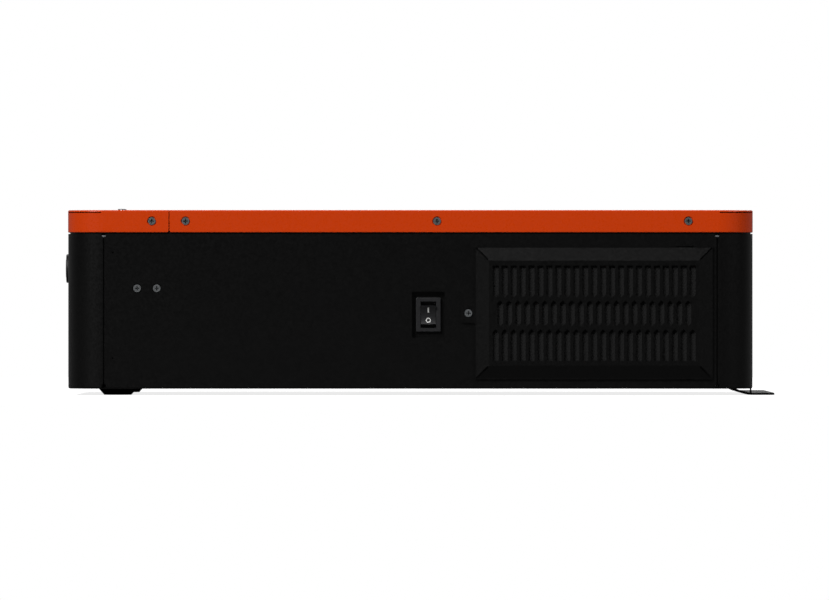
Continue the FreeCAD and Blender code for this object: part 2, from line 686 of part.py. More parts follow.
def corner_brackets():
    """Bare zinc strips behind the four seams, each with an arm whose tip fills the top relief."""
    y = -INNER_Y + LAP_GAP + SHEET + 0.1
    tip = RELIEF_WIDTH / 2 - RELIEF_PLAY
    near, far = tip + LAP_GAP, tip + LAP_GAP + BRACKET_RISER
    arm_z = WALL_TOP - BRACKET_ARM_DROP
    arm = BRACKET_ARM
    strips = []
    for way in (-1, 1):
        x = way * SEAM_X
        x0, x1 = sorted((x - way * BRACKET_INBOARD, x + way * BRACKET_OUTBOARD))
        r0, r1 = sorted((x - way * far, x - way * near))
        a0, a1 = sorted((x - way * far, x + way * tip))
        strip = join([
            box(x0, x1, y, y + SHEET, FLOOR + 6, WALL_TOP - RIM_OVERLAP - SLIP),
            box(r0, r1, y, y + SHEET, FLOOR + 6, arm_z),
            box(a0, a1, y, y + SHEET, arm_z - arm, arm_z),
            box(x - tip, x + tip, -HALF_WIDTH + 0.6, y + SHEET, arm_z - arm, arm_z),
        ])
        strips += both_sides(strip)
    return strips


# ---------------------------------------------------------------- covers
def cover_shell(x0, x1):
    """A shallow bent cover between two planes across the body."""
    grow = -OVERHANG
    outer = outline(grow, SKIRT_BOTTOM, TOP)
    outer = outer.makeFillet(COVER_BEND, level_edges(outer, TOP))
    outer = outer.makeFillet(SKIRT_EDGE, level_edges(outer, SKIRT_BOTTOM))
    shell = outer.cut(outline(grow + SHEET, SKIRT_BOTTOM - 1, CEILING))
    slit_top = TOP - COVER_PLATE_EDGE
    slit = outline_ring(grow - 1, SHEET + 1.5, slit_top - CORNER_SLIT, slit_top)
    corner_y = HALF_WIDTH - CORNER_RADIUS
    for y0, y1 in ((-FAR, -corner_y), (corner_y, FAR)):
        for side in (-1, 1):
            ends = sorted((side * (SEAM_X + 1.5), side * FAR))
            shell = shell.cut(slit.common(box(ends[0], ends[1], y0, y1, 0, FAR)))
    return shell.common(box(x0, x1, -FAR, FAR, 0, FAR))


def rounded_skirt_end(shell, x, way):
    """Rounds the skirts' lower corners beside the split; way points into the cover."""
    r = SKIRT_CORNER
    x0, x1 = sorted((x, x + way * r))
    block = box(x0, x1, -FAR, FAR, SKIRT_BOTTOM - 1, SKIRT_BOTTOM + r)
    return shell.cut(block.cut(rod(r, V(x + way * r, -FAR, SKIRT_BOTTOM + r), V(0, 1, 0), 2 * FAR)))


def skirt_sinks(xs):
    y = -HALF_WIDTH - OVERHANG
    return [s for x in xs for s in both_sides(aim(sink(), V(x, y, SCREW_Z), V(0, 1, 0)))]


def display_hole():
    x, y = DISPLAY_LENGTH / 2 + SLIP, DISPLAY_WIDTH / 2 + SLIP
    return rounded_block(DISPLAY_X - x, DISPLAY_X + x, -y, y, 6, CEILING - 1, TOP + 1)


def main_cover():
    x0 = SPLIT_X + SPLIT / 2
    shell = rounded_skirt_end(cover_shell(x0, FAR), x0, 1)
    return drill(shell, skirt_sinks(COVER_SCREW_XS[1:]) + [display_hole()])


def wiring_cover():
    x1 = SPLIT_X - SPLIT / 2
    shell = rounded_skirt_end(cover_shell(-FAR, x1), x1, -1)
    hole = rod(PAN_SCREW_RADIUS + SLIP, V(POST_X, 0, CEILING - 1), V(0, 0, 1), 4)
    return drill(shell, skirt_sinks(COVER_SCREW_XS[:1]) + [hole])


def cover_screws():
    y = -HALF_WIDTH - OVERHANG + SCREW_PLAY / 2
    screw = countersunk_screw()
    return [s for x in COVER_SCREW_XS for s in both_sides(aim(screw, V(x, y, SCREW_Z), V(0, 1, 0)))]


def bulkhead_screws():
    y = -HALF_WIDTH + SCREW_PLAY / 2
    screw = countersunk_screw()
    places = [V(x, y, BULKHEAD_SCREW_Z) for x in BULKHEAD_SCREW_XS]
    return [s for place in places for s in both_sides(aim(screw, place, V(0, 1, 0)))]


def cover_post():
    """Hexagonal post that the wiring cover's top screw goes into."""
    post = hexagon(V(POST_X, 0, FLOOR), POST_ACROSS, CEILING - FLOOR)
    return post.cut(rod(PAN_SCREW_RADIUS + SCREW_PLAY, V(POST_X, 0, CEILING - 12), V(0, 0, 1), 13))


def post_screw():
    """Pan-head screw, head up on the wiring cover."""
    head = rod(PAN_HEAD_RADIUS, V(0, 0, 0), V(0, 0, 1), PAN_HEAD_HEIGHT)
    head = head.makeFillet(0.9, level_edges(head, PAN_HEAD_HEIGHT))
    recess = cross_recess().mirror(V(0, 0, 0), V(0, 0, 1))
    recess.translate(V(0, 0, PAN_HEAD_HEIGHT))
    shank = rod(PAN_SCREW_RADIUS, V(0, 0, -10), V(0, 0, 1), 10.5)
    screw = join([head, shank]).cut(recess)
    screw.translate(V(POST_X, 0, TOP))
    return screw


def wiring_bulkhead():
    """Wall between the wiring chamber and the electronics; its sides are screwed to the tray."""
    half = SHEET / 2
    y = RIM_INNER_Y - 0.3
    web = box(BULKHEAD_X - half, BULKHEAD_X + half, -y, y, FLOOR, CEILING)
    shelf = box(BULKHEAD_X - SHELF_REACH, BULKHEAD_X + SHELF_REACH, -y, y, CEILING - SHEET, CEILING)
    foot = box(BULKHEAD_X, BULKHEAD_X + FOOT_REACH, -y, y, FLOOR, FLOOR + SHEET)
    z0, z1 = FLOOR + 3, WALL_TOP - RIM_OVERLAP - FLANGE_CLEAR
    flange = box(BULKHEAD_X - FLANGE_REACH, BULKHEAD_X + half, -INNER_Y, -INNER_Y + SHEET, z0, z1)
    bridge = box(BULKHEAD_X - half, BULKHEAD_X + half, -INNER_Y, -y + 0.1, z0, z1)
    plate = join([web, shelf, foot] + both_sides(flange) + both_sides(bridge))
    holes = [s for x in BULKHEAD_SCREW_XS for s in both_sides(screw_hole(x, BULKHEAD_SCREW_Z))]
    for passage_y in PASSAGE_YS:
        holes.append(rod(PASSAGE_RADIUS, V(BULKHEAD_X - 5, passage_y, FLOOR + PASSAGE_ROW), V(1, 0, 0), 10))
    return drill(plate, holes)


# ---------------------------------------------------------------- filter cover, foam and fans
def filter_cover():
    """Bent cover: a flat rim, four bevels with open mitres, and a slotted field."""
    face = -HALF_WIDTH - SLIP
    crown = face - FILTER_RISE

    def rectangle(inset, y):
        x0, x1 = FILTER_X0 + inset, FILTER_X1 - inset
        z0, z1 = FILTER_Z0 + inset, FILTER_Z1 - inset
        return Part.makePolygon([V(x0, y, z0), V(x1, y, z0), V(x1, y, z1), V(x0, y, z1), V(x0, y, z0)])

    def frustum(inset, y_base, y_top):
        return Part.makeLoft([rectangle(inset, y_base), rectangle(inset + FILTER_BEVEL, y_top)], True, True)

    base = face - FILTER_SHEET
    f = FILTER_FLANGE
    flange = box(FILTER_X0 - f, FILTER_X1 + f, base, face, FILTER_Z0 - f, FILTER_Z1 + f)
    bevels = frustum(0, base, crown)
    hollow = frustum(0, face, crown + FILTER_SHEET)
    tab = side_window(FILTER_X0 - TAB_REACH, FILTER_X0 + f, FILTER_MID_Z - TAB_HEIGHT / 2,
                      FILTER_MID_Z + TAB_HEIGHT / 2, 1.5, base, face)
    tab = tab.cut(box(FILTER_X0 - f / 2, FAR, -FAR, FAR, 0, FAR))
    pieces = [join([flange, bevels]).cut(hollow), tab]
    for x, z in tongue_places():
        w, h = TONGUE_WIDTH / 2, FILTER_SHEET / 2
        pieces.append(box(x - w, x + w, base, face + TONGUE_REACH, z - h, z + h))
    cover = join(pieces)
    cuts = vent_slots(FILTER_X0 + FILTER_BEVEL, FILTER_Z0 + FILTER_BEVEL, crown - 1, crown + 2)
    reach = FILTER_BEVEL - 0.6
    for cx, sx in ((FILTER_X0, 1), (FILTER_X1, -1)):
        for cz, sz in ((FILTER_Z0, 1), (FILTER_Z1, -1)):
            m, s = MITRE / 2, math.sqrt(0.5)
            px, pz = -sx * s * m, sz * s * m
            start = V(cx, crown - 1, cz)
            end = V(cx + sx * reach, crown - 1, cz + sz * reach)
            side = V(px, 0, pz)
            corners = [start + side, end + side, end - side, start - side]
            cuts.append(prism(corners, V(0, FILTER_RISE + 1, 0)))
    cuts.append(aim(sink(FILTER_SHEET), V(FILTER_SCREW_X, base, FILTER_MID_Z), V(0, 1, 0)))
    return drill(cover, cuts)


def filter_foam():
    inset = FILTER_SHEET + FILTER_BEVEL * FOAM_THICKNESS / (FILTER_RISE - FILTER_SHEET) + SLIP
    face = -HALF_WIDTH - SLIP
    return box(FILTER_X0 + inset, FILTER_X1 - inset, face - FOAM_THICKNESS, face - 0.1,
               FILTER_Z0 + inset, FILTER_Z1 - inset)


def filter_screw():
    y = -HALF_WIDTH - SLIP - FILTER_SHEET + SCREW_PLAY / 2
    return aim(countersunk_screw(), V(FILTER_SCREW_X, y, FILTER_MID_Z), V(0, 1, 0))


def fan_frame(x, z):
    """Square fan frame behind the side wall; its struts carry the motor's bush."""
    y0 = -INNER_Y
    y1 = y0 + FAN_DEPTH
    h = FAN_SIZE / 2
    frame = side_window(x - h, x + h, z - h, z + h, 4.0, y0, y1)
    frame = frame.cut(rod(FAN_DUCT_RADIUS, V(x, y0 - 1, z), V(0, 1, 0), FAN_DEPTH + 2))
    holes = [rod(SCREW_RADIUS + SCREW_PLAY, V(x + i, y0 - 1, z + k), V(0, 1, 0), FAN_DEPTH + 2)
             for i in (-FAN_SCREW_PITCH / 2, FAN_SCREW_PITCH / 2)
             for k in (-FAN_SCREW_PITCH / 2, FAN_SCREW_PITCH / 2)]
    frame = drill(frame, holes)
    parts = [frame, rod(FAN_HUB_RADIUS, V(x, y1 - 3, z), V(0, 1, 0), 3),
             rod(FAN_SHAFT_RADIUS + 2.5, V(x, y1 - 9, z), V(0, 1, 0), 8)]
    for i in range(4):
        strut = box(x, x + FAN_DUCT_RADIUS + 0.5, y1 - 3, y1, z - 1.2, z + 1.2)
        parts.append(strut.rotate(V(x, 0, z), V(0, 1, 0), 45 + 90 * i))
    frame = join(parts)
    return frame.cut(rod(FAN_SHAFT_RADIUS + RUNNING_FIT, V(x, y1 - 10, z), V(0, 1, 0), 8.5))


def fan_rotor(x, z):
    """Hub with a drum, pitched blades and the shaft that runs in the frame's bush."""
    y0 = -INNER_Y + 2.0
    depth = FAN_DEPTH - 7.0
    hub = rod(FAN_HUB_RADIUS, V(x, y0, z), V(0, 1, 0), depth)
    hub = hub.makeFillet(1.0, [e for e in hub.Edges if all(abs(v.Y - y0) < 1e-6 for v in e.Vertexes)])
    hub = hub.cut(rod(FAN_HUB_RADIUS - 1.5, V(x, y0 + 2, z), V(0, 1, 0), depth))
    shaft = rod(FAN_SHAFT_RADIUS, V(x, y0 + 1, z), V(0, 1, 0), FAN_DEPTH - 6.5)
    pieces = [hub, shaft]
    ring = rod(FAN_ROTOR_RADIUS, V(x, y0, z), V(0, 1, 0), depth)
    ring = ring.cut(rod(FAN_HUB_RADIUS - 0.8, V(x, y0 - 1, z), V(0, 1, 0), depth + 2))
    middle = y0 + depth / 2
    for i in range(BLADES):
        blade = box(x + FAN_HUB_RADIUS - 1, x + FAN_ROTOR_RADIUS + 1, middle - BLADE_CHORD / 2,
                    middle + BLADE_CHORD / 2, z - BLADE_THICKNESS / 2, z + BLADE_THICKNESS / 2)
        blade = blade.rotate(V(x, middle, z), V(1, 0, 0), BLADE_PITCH_DEG)
        blade = blade.rotate(V(x, middle, z), V(0, 1, 0), 360.0 / BLADES * i)
        pieces.append(blade.common(ring))
    return join(pieces)


def fan_screws():
    y = -HALF_WIDTH + SCREW_PLAY / 2
    screw = countersunk_screw(FAN_SCREW_LENGTH)
    return [aim(screw, V(x, y, z), V(0, 1, 0)) for x, z in fan_screw_places()]


# ---------------------------------------------------------------- rocker switch
def switch_plate():
    """Recessed plate behind the wall's window; the switch snaps into it."""
    y0 = -INNER_Y
    y1 = y0 + WELL_DEPTH
    w, h = WELL_WIDTH / 2, WELL_HEIGHT / 2
    t = SHEET
    cup = side_window(SWITCH_X - w - t, SWITCH_X + w + t, SWITCH_Z - h - t, SWITCH_Z + h + t, 2.0, y0, y1)
    cup = cup.cut(side_window(SWITCH_X - w, SWITCH_X + w, SWITCH_Z - h, SWITCH_Z + h, 0.8, y0 - 1, y1 - t))
    rim_x, rim_z = w + 6, h + 4
    collar = side_window(SWITCH_X - rim_x, SWITCH_X + rim_x, SWITCH_Z - rim_z, SWITCH_Z + rim_z,
                         2.0, y0, y0 + t)
    collar = collar.cut(box(SWITCH_X - w, SWITCH_X + w, y0 - 1, y0 + 5, SWITCH_Z - h, SWITCH_Z + h))
    cut = box(SWITCH_X - SWITCH_BODY_WIDTH / 2 - 0.1, SWITCH_X + SWITCH_BODY_WIDTH / 2 + 0.1, y0, y1 + 2,
              SWITCH_Z - SWITCH_BODY_HEIGHT / 2 - 0.1, SWITCH_Z + SWITCH_BODY_HEIGHT / 2 + 0.1)
    return join([cup, collar]).cut(cut)


def switch_face():
    """Outer face of the switch's bezel, which sits on the recessed plate."""
    return -INNER_Y + WELL_DEPTH - SHEET - BEZEL_THICKNESS


def rocker_pivot():
    return V(SWITCH_X, switch_face() + ROCKER_PIVOT_DEPTH, SWITCH_Z + ROCKER_RAISE)


def switch_body():
    y0 = switch_face()
    w, h = BEZEL_WIDTH / 2, BEZEL_HEIGHT / 2
    bezel = side_window(SWITCH_X - w, SWITCH_X + w, SWITCH_Z - h, SWITCH_Z + h,
                        0.7, y0, y0 + BEZEL_THICKNESS)
    bezel = bezel.makeFillet(0.4, [e for e in bezel.Edges if all(abs(v.Y - y0) < 1e-6 for v in e.Vertexes)])
    w, h = SWITCH_BODY_WIDTH / 2, SWITCH_BODY_HEIGHT / 2
    case = box(SWITCH_X - w, SWITCH_X + w, y0 + BEZEL_THICKNESS - 0.1, y0 + SWITCH_BODY_DEPTH,
               SWITCH_Z - h, SWITCH_Z + h)
    w, h = SWITCH_MOUTH_WIDTH / 2, SWITCH_MOUTH_HEIGHT / 2
    mouth = box(SWITCH_X - w, SWITCH_X + w, y0 - 1, y0 + 9.0, SWITCH_Z - h, SWITCH_Z + h)
    pivot = rocker_pivot()
    reach = w + 1.0
    bores = rod(ROCKER_PIN_RADIUS + RUNNING_FIT, pivot - V(reach, 0, 0), V(1, 0, 0), 2 * reach)
    return join([bezel, case]).cut(mouth).cut(bores)


def switch_rocker():
    """Dished rocker with its two pins, pressed at its lower end."""
    w = SWITCH_MOUTH_WIDTH / 2 - ROCKER_GAP
    reach = SWITCH_MOUTH_HEIGHT / 2 - ROCKER_SHORT
    heel = reach * 0.55
    wide = reach + ROCKER_SHOULDER
    low, middle, high = V(-w, -ROCKER_CREST, -reach), V(-w, -ROCKER_DISH, 0), V(-w, -ROCKER_CREST, reach)
    heel_high, heel_low = V(-w, ROCKER_HEEL, heel), V(-w, ROCKER_HEEL, -heel)
    shoulder_high, shoulder_low = V(-w, 1.2 - ROCKER_CREST, wide), V(-w, 1.2 - ROCKER_CREST, -wide)
    edges = [
        Part.Arc(low, middle, high), Part.LineSegment(high, shoulder_high),
        Part.LineSegment(shoulder_high, heel_high), Part.LineSegment(heel_high, heel_low),
        Part.LineSegment(heel_low, shoulder_low), Part.LineSegment(shoulder_low, low),
    ]
    rocker = Part.Face(Part.Wire([e.toShape() for e in edges])).extrude(V(2 * w, 0, 0))
    pin = rod(ROCKER_PIN_RADIUS, V(-w - 1.05, 0, 0), V(1, 0, 0), 2 * w + 2.1)
    rocker = join([rocker, pin])
    rocker = rocker.rotate(V(0, 0, 0), V(1, 0, 0), ROCKER_TILT_DEG)
    rocker.translate(rocker_pivot())
    return rocker


def switch_blades():
    y = switch_face() + SWITCH_BODY_DEPTH
    x0, x1 = SWITCH_X - BLADE_HALF_WIDTH, SWITCH_X + BLADE_HALF_WIDTH
    t = BLADE_HALF_THICKNESS
    return [box(x0, x1, y, y + BLADE_LENGTH, SWITCH_Z + k - t, SWITCH_Z + k + t) for k in (-6, 0, 6)]


# ---------------------------------------------------------------- wiring end
def reset_nut():
    """Round nut that holds the overload protector in the end panel."""
    x = -HALF_LENGTH
    nut = rod(RESET_NUT_RADIUS, V(x - RESET_NUT_REACH, RESET_Y, RESET_Z), V(1, 0, 0), RESET_NUT_REACH)
    edge = [e for e in nut.Edges if all(abs(v.X - x + RESET_NUT_REACH) < 1e-6 for v in e.Vertexes)]
    nut = nut.makeFillet(0.6, edge)
    return nut.cut(rod(RESET_THREAD_RADIUS + SLIP, V(x - 9, RESET_Y, RESET_Z), V(1, 0, 0), 10))


def overload_protector():
    """Thermal breaker: threaded neck through the panel, case and two blades behind it."""
    x = -HALF_LENGTH
    inside = x + SHEET
    end = inside + RESET_BODY_DEPTH
    neck = rod(RESET_THREAD_RADIUS, V(x - RESET_NUT_REACH + 0.5, RESET_Y, RESET_Z), V(1, 0, 0),
               RESET_NUT_REACH + SHEET)
    case = box(inside, end, RESET_Y - 8, RESET_Y + 8, RESET_Z - 13, RESET_Z + 13)
    blades = [box(end - 1, end + 9, RESET_Y - 3.2, RESET_Y + 3.2, RESET_Z + k - 0.4, RESET_Z + k + 0.4)
              for k in (-7, 7)]
    bore = rod(RESET_RADIUS + RESET_GAP, V(x - 9, RESET_Y, RESET_Z), V(1, 0, 0), 9 + SHEET + 6)
    return join([neck, case] + blades).cut(bore)


def reset_button():
    x = -HALF_LENGTH
    button = rod(RESET_RADIUS, V(x - RESET_REACH, RESET_Y, RESET_Z), V(1, 0, 0), RESET_REACH + 4.0)
    edge = [e for e in button.Edges if all(abs(v.X - x + RESET_REACH) < 1e-6 for v in e.Vertexes)]
    return button.makeFillet(1.0, edge)


def cable_grommets():
    """Rubber bushes in the cable entries."""
    x = -HALF_LENGTH
    bushes = []
    for y, r in GROMMETS:
        neck_radius, lip_radius = r + GROMMET_WALL, r + GROMMET_WALL + GROMMET_LIP
        start = V(x - GROMMET_PROUD, y, GROMMET_Z)
        outer = rod(lip_radius, start, V(1, 0, 0), GROMMET_PROUD)
        neck = rod(neck_radius, start, V(1, 0, 0), GROMMET_PROUD + SHEET + GROMMET_NECK)
        inner = rod(lip_radius, V(x + SHEET, y, GROMMET_Z), V(1, 0, 0), GROMMET_BACK)
        bushes.append(join([outer, neck, inner]).cut(rod(r, start - V(1, 0, 0), V(1, 0, 0), 9)))
    return bushes


def communication_sockets():
    """Shrouded sockets for the data cables, flush with the end panel, and their carrier board."""
    x = -HALF_LENGTH + SHEET + 0.1
    back = x + PORT_DEPTH + 2 * PORT_WALL
    pieces = []
    for y, z in PORT_PLACES:
        w, h = PORT_WIDTH / 2, PORT_HEIGHT / 2
        shell = box(x, back, y - w - PORT_WALL, y + w + PORT_WALL, z - h - PORT_WALL, z + h + PORT_WALL)
        pieces.append(shell.cut(box(x - 1, x + PORT_DEPTH, y - w, y + w, z - h, z + h)))
    y0, y1 = PORT_PLACES[0][0] - CARRIER_MARGIN_Y, PORT_PLACES[-1][0] + CARRIER_MARGIN_Y
    z = PORT_PLACES[0][1]
    carrier = box(back, back + BOARD, y0, y1, z - CARRIER_HALF_HEIGHT, z + CARRIER_HALF_HEIGHT)
    return pieces, carrier


def bay_start(y0, i):
    """Where bay i of a block that starts at y0 begins."""
    return y0 + BAY_WALL + i * (BAY_WIDTH + BAY_WALL)


def terminal_block(y0, bays):
    """Barrier block standing on the floor: open bays that face the cable entries and the front."""
    y1 = bay_start(y0, bays)
    block = box(BLOCK_X, BLOCK_X + BAY_DEPTH + BLOCK_BACK, y0, y1, FLOOR, BAY_Z + BAY_HEIGHT)
    cuts = []
    for i in range(bays):
        y = bay_start(y0, i)
        cuts.append(box(BLOCK_X - 1, BLOCK_X + BAY_DEPTH, y, y + BAY_WIDTH, BAY_Z, BAY_Z + BAY_HEIGHT + 1))
    return drill(block, cuts)


def clamp_screws():
    """A clamp plate and its slotted screw in every bay."""
    x = BLOCK_X + BAY_DEPTH - CLAMP_FROM_BACK
    half = CLAMP_SIDE / 2
    top = BAY_Z + CLAMP_THICKNESS
    clamps = []
    for y0, bays in ((AC_Y, AC_BAYS), (PV_Y, PV_BAYS)):
        for i in range(bays):
            y = bay_start(y0, i) + BAY_WIDTH / 2
            plate = box(x - half, x + half, y - half, y + half, BAY_Z, top)
            head = rod(CLAMP_HEAD_RADIUS, V(x, y, top), V(0, 0, 1), CLAMP_HEAD)
            slot = box(x - half - 1, x + half + 1, y - 0.4, y + 0.4, top + CLAMP_HEAD * 0.6, top + 3)
            clamps.append(plate.fuse(head).cut(slot))
    return clamps


def battery_base():
    """Insulating block under the two battery studs, with a fence between them."""
    x0, x1 = BATTERY_X - BATTERY_HALF_LENGTH, BATTERY_X + BATTERY_HALF_LENGTH
    y0, y1 = BATTERY_YS[0] - BATTERY_MARGIN, BATTERY_YS[1] + BATTERY_MARGIN
    middle, half = (y0 + y1) / 2, FENCE_THICKNESS / 2
    base = box(x0, x1, y0, y1, FLOOR, BATTERY_TOP)
    fence = box(x0, x1, middle - half, middle + half, FLOOR, BATTERY_TOP + FENCE_HEIGHT)
    holes = [rod(STUD_RADIUS + SLIP, V(BATTERY_X, y, STUD_FOOT), V(0, 0, 1), 30) for y in BATTERY_YS]
    return drill(join([base, fence]), holes)


def battery_studs():
    length = STUD_TIP - STUD_FOOT
    return [rod(STUD_RADIUS, V(BATTERY_X, y, STUD_FOOT), V(0, 0, 1), length) for y in BATTERY_YS]


def hexagon(centre, across, height):
    """A standing hexagonal bar, given across its flats."""
    r = across / math.sqrt(3)
    angles = [math.radians(60 * i) for i in range(6)]
    return prism([centre + V(r * math.cos(a), r * math.sin(a), 0) for a in angles], V(0, 0, height))


def battery_nuts():
    nuts = []
    for y in BATTERY_YS:
        foot = V(BATTERY_X, y, BATTERY_TOP)
        bore = rod(STUD_RADIUS + SLIP, foot - V(0, 0, 1), V(0, 0, 1), NUT_HEIGHT + 2)
        nuts.append(hexagon(foot, NUT_ACROSS, NUT_HEIGHT).cut(bore))
    return nuts


def ground_stud():
    foot = V(GROUND_X, GROUND_Y, FLOOR)
    stud = rod(GROUND_RADIUS, foot, V(0, 0, 1), GROUND_LENGTH)
    return join([stud, hexagon(foot, GROUND_NUT_ACROSS, GROUND_NUT_HEIGHT)])


# ---------------------------------------------------------------- display
def display_bezel():
    """Moulded panel flush in the main cover, with a flange behind the sheet."""
    x, y = DISPLAY_LENGTH / 2, DISPLAY_WIDTH / 2
    face = rounded_block(DISPLAY_X - x, DISPLAY_X + x, -y, y, 6 - SLIP, CEILING - 2, TOP + DISPLAY_PROUD)
    face = face.makeFillet(0.35, level_edges(face, TOP + DISPLAY_PROUD))
    x, y = x + DISPLAY_FLANGE, y + DISPLAY_FLANGE
    flange = rounded_block(DISPLAY_X - x, DISPLAY_X + x, -y, y, 8, CEILING - 2, CEILING)
    cuts = [window_block(0, CEILING - 3, TOP + 2), window_block(-2.0, CEILING - 3, CEILING - 0.5)]
    for kx, ky in key_places():
        cuts.append(key_block(kx, ky, KEY_GAP, CEILING - 3, TOP + 2))
    cuts += [rod(LED_RADIUS + 0.1, V(lx, ly, CEILING - 3), V(0, 0, 1), 9) for lx, ly in led_places()]
    return drill(join([face, flange]), cuts)


def window_block(inset, z0, z1):
    x, y = WINDOW_LENGTH / 2 - inset, WINDOW_WIDTH / 2 - inset
    middle = DISPLAY_X + 12.0
    return rounded_block(middle - x, middle + x, -y, y, 2.5 - inset, z0, z1)


def key_places():
    return [(DISPLAY_X - 28.0, KEY_PITCH * (i - 1.5)) for i in range(4)]


def key_block(x, y, grow, z0, z1):
    a, b = KEY_LENGTH / 2 + grow, KEY_WIDTH / 2 + grow
    return rounded_block(x - a, x + a, y - b, y + b, 2.0 + grow, z0, z1)


def key(x, y):
    """One key: cap through the bezel, flange under it that stops it coming out."""
    cap = key_block(x, y, 0, CEILING - 3.5, TOP + DISPLAY_PROUD + 0.1)
    cap = cap.makeFillet(0.3, level_edges(cap, TOP + DISPLAY_PROUD + 0.1))
    stop = key_block(x, y, 1.2, CEILING - 3.5, CEILING - 2.3)
    stem = rod(1.5, V(x, y, CEILING - 5.0), V(0, 0, 1), 2)
    return join([cap, stop, stem])


def led_places():
    return [(DISPLAY_X + 12.0 + 14.0 * (i - 1), -WINDOW_WIDTH / 2 - 14.0) for i in range(3)]


def led_lenses():
    lenses = []
    for x, y in led_places():
        lens = rod(LED_RADIUS, V(x, y, CEILING - 4), V(0, 0, 1), TOP + DISPLAY_PROUD + 0.1 - CEILING + 4)
        lenses.append(lens.makeFillet(0.4, level_edges(lens, TOP + DISPLAY_PROUD + 0.1)))
    return lenses


def display_window():
    return window_block(0.1, CEILING - 0.4, TOP + DISPLAY_PROUD - 0.1)


def display_lcd():
    return window_block(-1.8, CEILING - 3.9, CEILING - 0.6)


def display_board():
    x, y = DISPLAY_LENGTH / 2, DISPLAY_WIDTH / 2
    z = CEILING - 4.0
    board = box(DISPLAY_X - x, DISPLAY_X + x, -y, y, z - BOARD - 3, z - 3)
    switch_top = z - 1 - KEY_TRAVEL - 0.3
    switches = [box(kx - 3, kx + 3, ky - 3, ky + 3, z - 3, switch_top) for kx, ky in key_places()]
    lamps = [rod(1.4, V(lx, ly, z - 3), V(0, 0, 1), 2.8) for lx, ly in led_places()]
    carrier = window_block(-1.8, z - 3, z)
    legs = [rod(2.5, V(DISPLAY_X + sx * (x - 4), sy * (y - 4), z - 3), V(0, 0, 1), CEILING - 2 - z + 3)
            for sx in (-1, 1) for sy in (-1, 1)]
    return join([board, carrier] + switches + lamps + legs)


# ---------------------------------------------------------------- electronics
def main_board():
    return box(BOARD_X0, BOARD_X1, BOARD_Y0, BOARD_Y1, BOARD_Z, BOARD_TOP)


def board_standoffs():
    xs = (BOARD_X0 + STANDOFF_MARGIN, (BOARD_X0 + BOARD_X1) / 2, BOARD_X1 - STANDOFF_MARGIN)
    ys = (BOARD_Y0 + STANDOFF_MARGIN, (BOARD_Y0 + BOARD_Y1) / 2, BOARD_Y1 - STANDOFF_MARGIN)
    return [hexagon(V(x, y, FLOOR), SPACER_ACROSS, BOARD_STANDOFF) for x in xs for y in ys]


def heatsink(x0, x1):
    """Extruded comb with its fins along the air's way, from the fans to the far side."""
    y0, y1 = BOARD_Y0 + HEATSINK_FRONT, BOARD_Y1 - HEATSINK_REAR
    root = HEATSINK_Z + HEATSINK_BASE
    count = int((x1 - x0 - FIN_THICKNESS) / FIN_PITCH) + 1
    first = (x0 + x1) / 2 - (count - 1) * FIN_PITCH / 2
    pieces = [box(x0, x1, y0, y1, HEATSINK_Z, root)]
    for i in range(count):
        x = first + i * FIN_PITCH
        pieces.append(box(x - FIN_THICKNESS / 2, x + FIN_THICKNESS / 2, y0, y1, root, root + FIN_HEIGHT))
    return join(pieces)


def heatsink_posts():
    posts = []
    for x0, x1 in SINK_SPANS:
        for x in (x0 + 5, x1 - 5):
            for y in (BOARD_Y0 + HEATSINK_FRONT + 6, BOARD_Y1 - HEATSINK_REAR - 6):
                posts.append(hexagon(V(x, y, BOARD_TOP), SPACER_ACROSS, HEATSINK_STANDOFF))
    return posts


def power_transistors():
    """Flat power packages clamped under the heatsinks, each on three legs."""
    packages = []
    half_length, half_width = PACKAGE_LENGTH / 2, PACKAGE_WIDTH / 2
    for x0, x1 in SINK_SPANS:
        x = (x0 + x1) / 2
        for i in range(PACKAGES):
            y = BOARD_Y0 + PACKAGE_FIRST + i * PACKAGE_PITCH
            case = box(x - half_length, x + half_length, y - half_width, y + half_width,
                       HEATSINK_Z - PACKAGE_THICKNESS, HEATSINK_Z)
            legs = [box(x - half_length - LEG, x - half_length, y + k - LEG / 2, y + k + LEG / 2,
                        BOARD_TOP, HEATSINK_Z - 2) for k in (-LEG_SPREAD, 0, LEG_SPREAD)]
            packages.append(join([case] + legs))
    return packages


def bus_capacitors():
    cans = []
    for i in range(CAN_COLUMNS):
        for k in range(CAN_ROWS):
            start = V(BOARD_X0 + 20 + i * CAN_PITCH, BOARD_Y1 - 18 - k * CAN_ROW_PITCH, BOARD_TOP)
            can = rod(CAN_RADIUS, start, V(0, 0, 1), CAN_HEIGHT)
            cans.append(can.makeFillet(1.5, level_edges(can, BOARD_TOP + CAN_HEIGHT)))
    return cans


def transformer():
    """Two-window ferrite core and the winding round its middle leg."""
    x, y, z = BOARD_X0 + 38, BOARD_Y0 + 40, BOARD_TOP
    half, deep, leg = CORE_LENGTH / 2, CORE_WIDTH / 2, CORE_MIDDLE_LEG / 2
    z0, z1 = z + CORE_LEG, z + CORE_HEIGHT - CORE_LEG
    core = box(x - half, x + half, y - deep, y + deep, z, z + CORE_HEIGHT)
    window = box(x + leg, x + leg + CORE_WINDOW, y - deep - 1, y + deep + 1, z0, z1)
    core = drill(core, [window, window.mirror(V(x, y, z), V(1, 0, 0))])
    reach = leg + CORE_WINDOW - 0.5
    winding = rounded_block(x - reach, x + reach, y - deep - 10, y + deep + 10, 8, z0 + 1, z1 - 1)
    return core, winding.cut(box(x - leg - SLIP, x + leg + SLIP, y - deep - SLIP, y + deep + SLIP, z, z1))


def inductor_places():
    return [(BOARD_X0 + 104, BOARD_Y0 + 34 + i * INDUCTOR_PITCH) for i in range(INDUCTORS)]


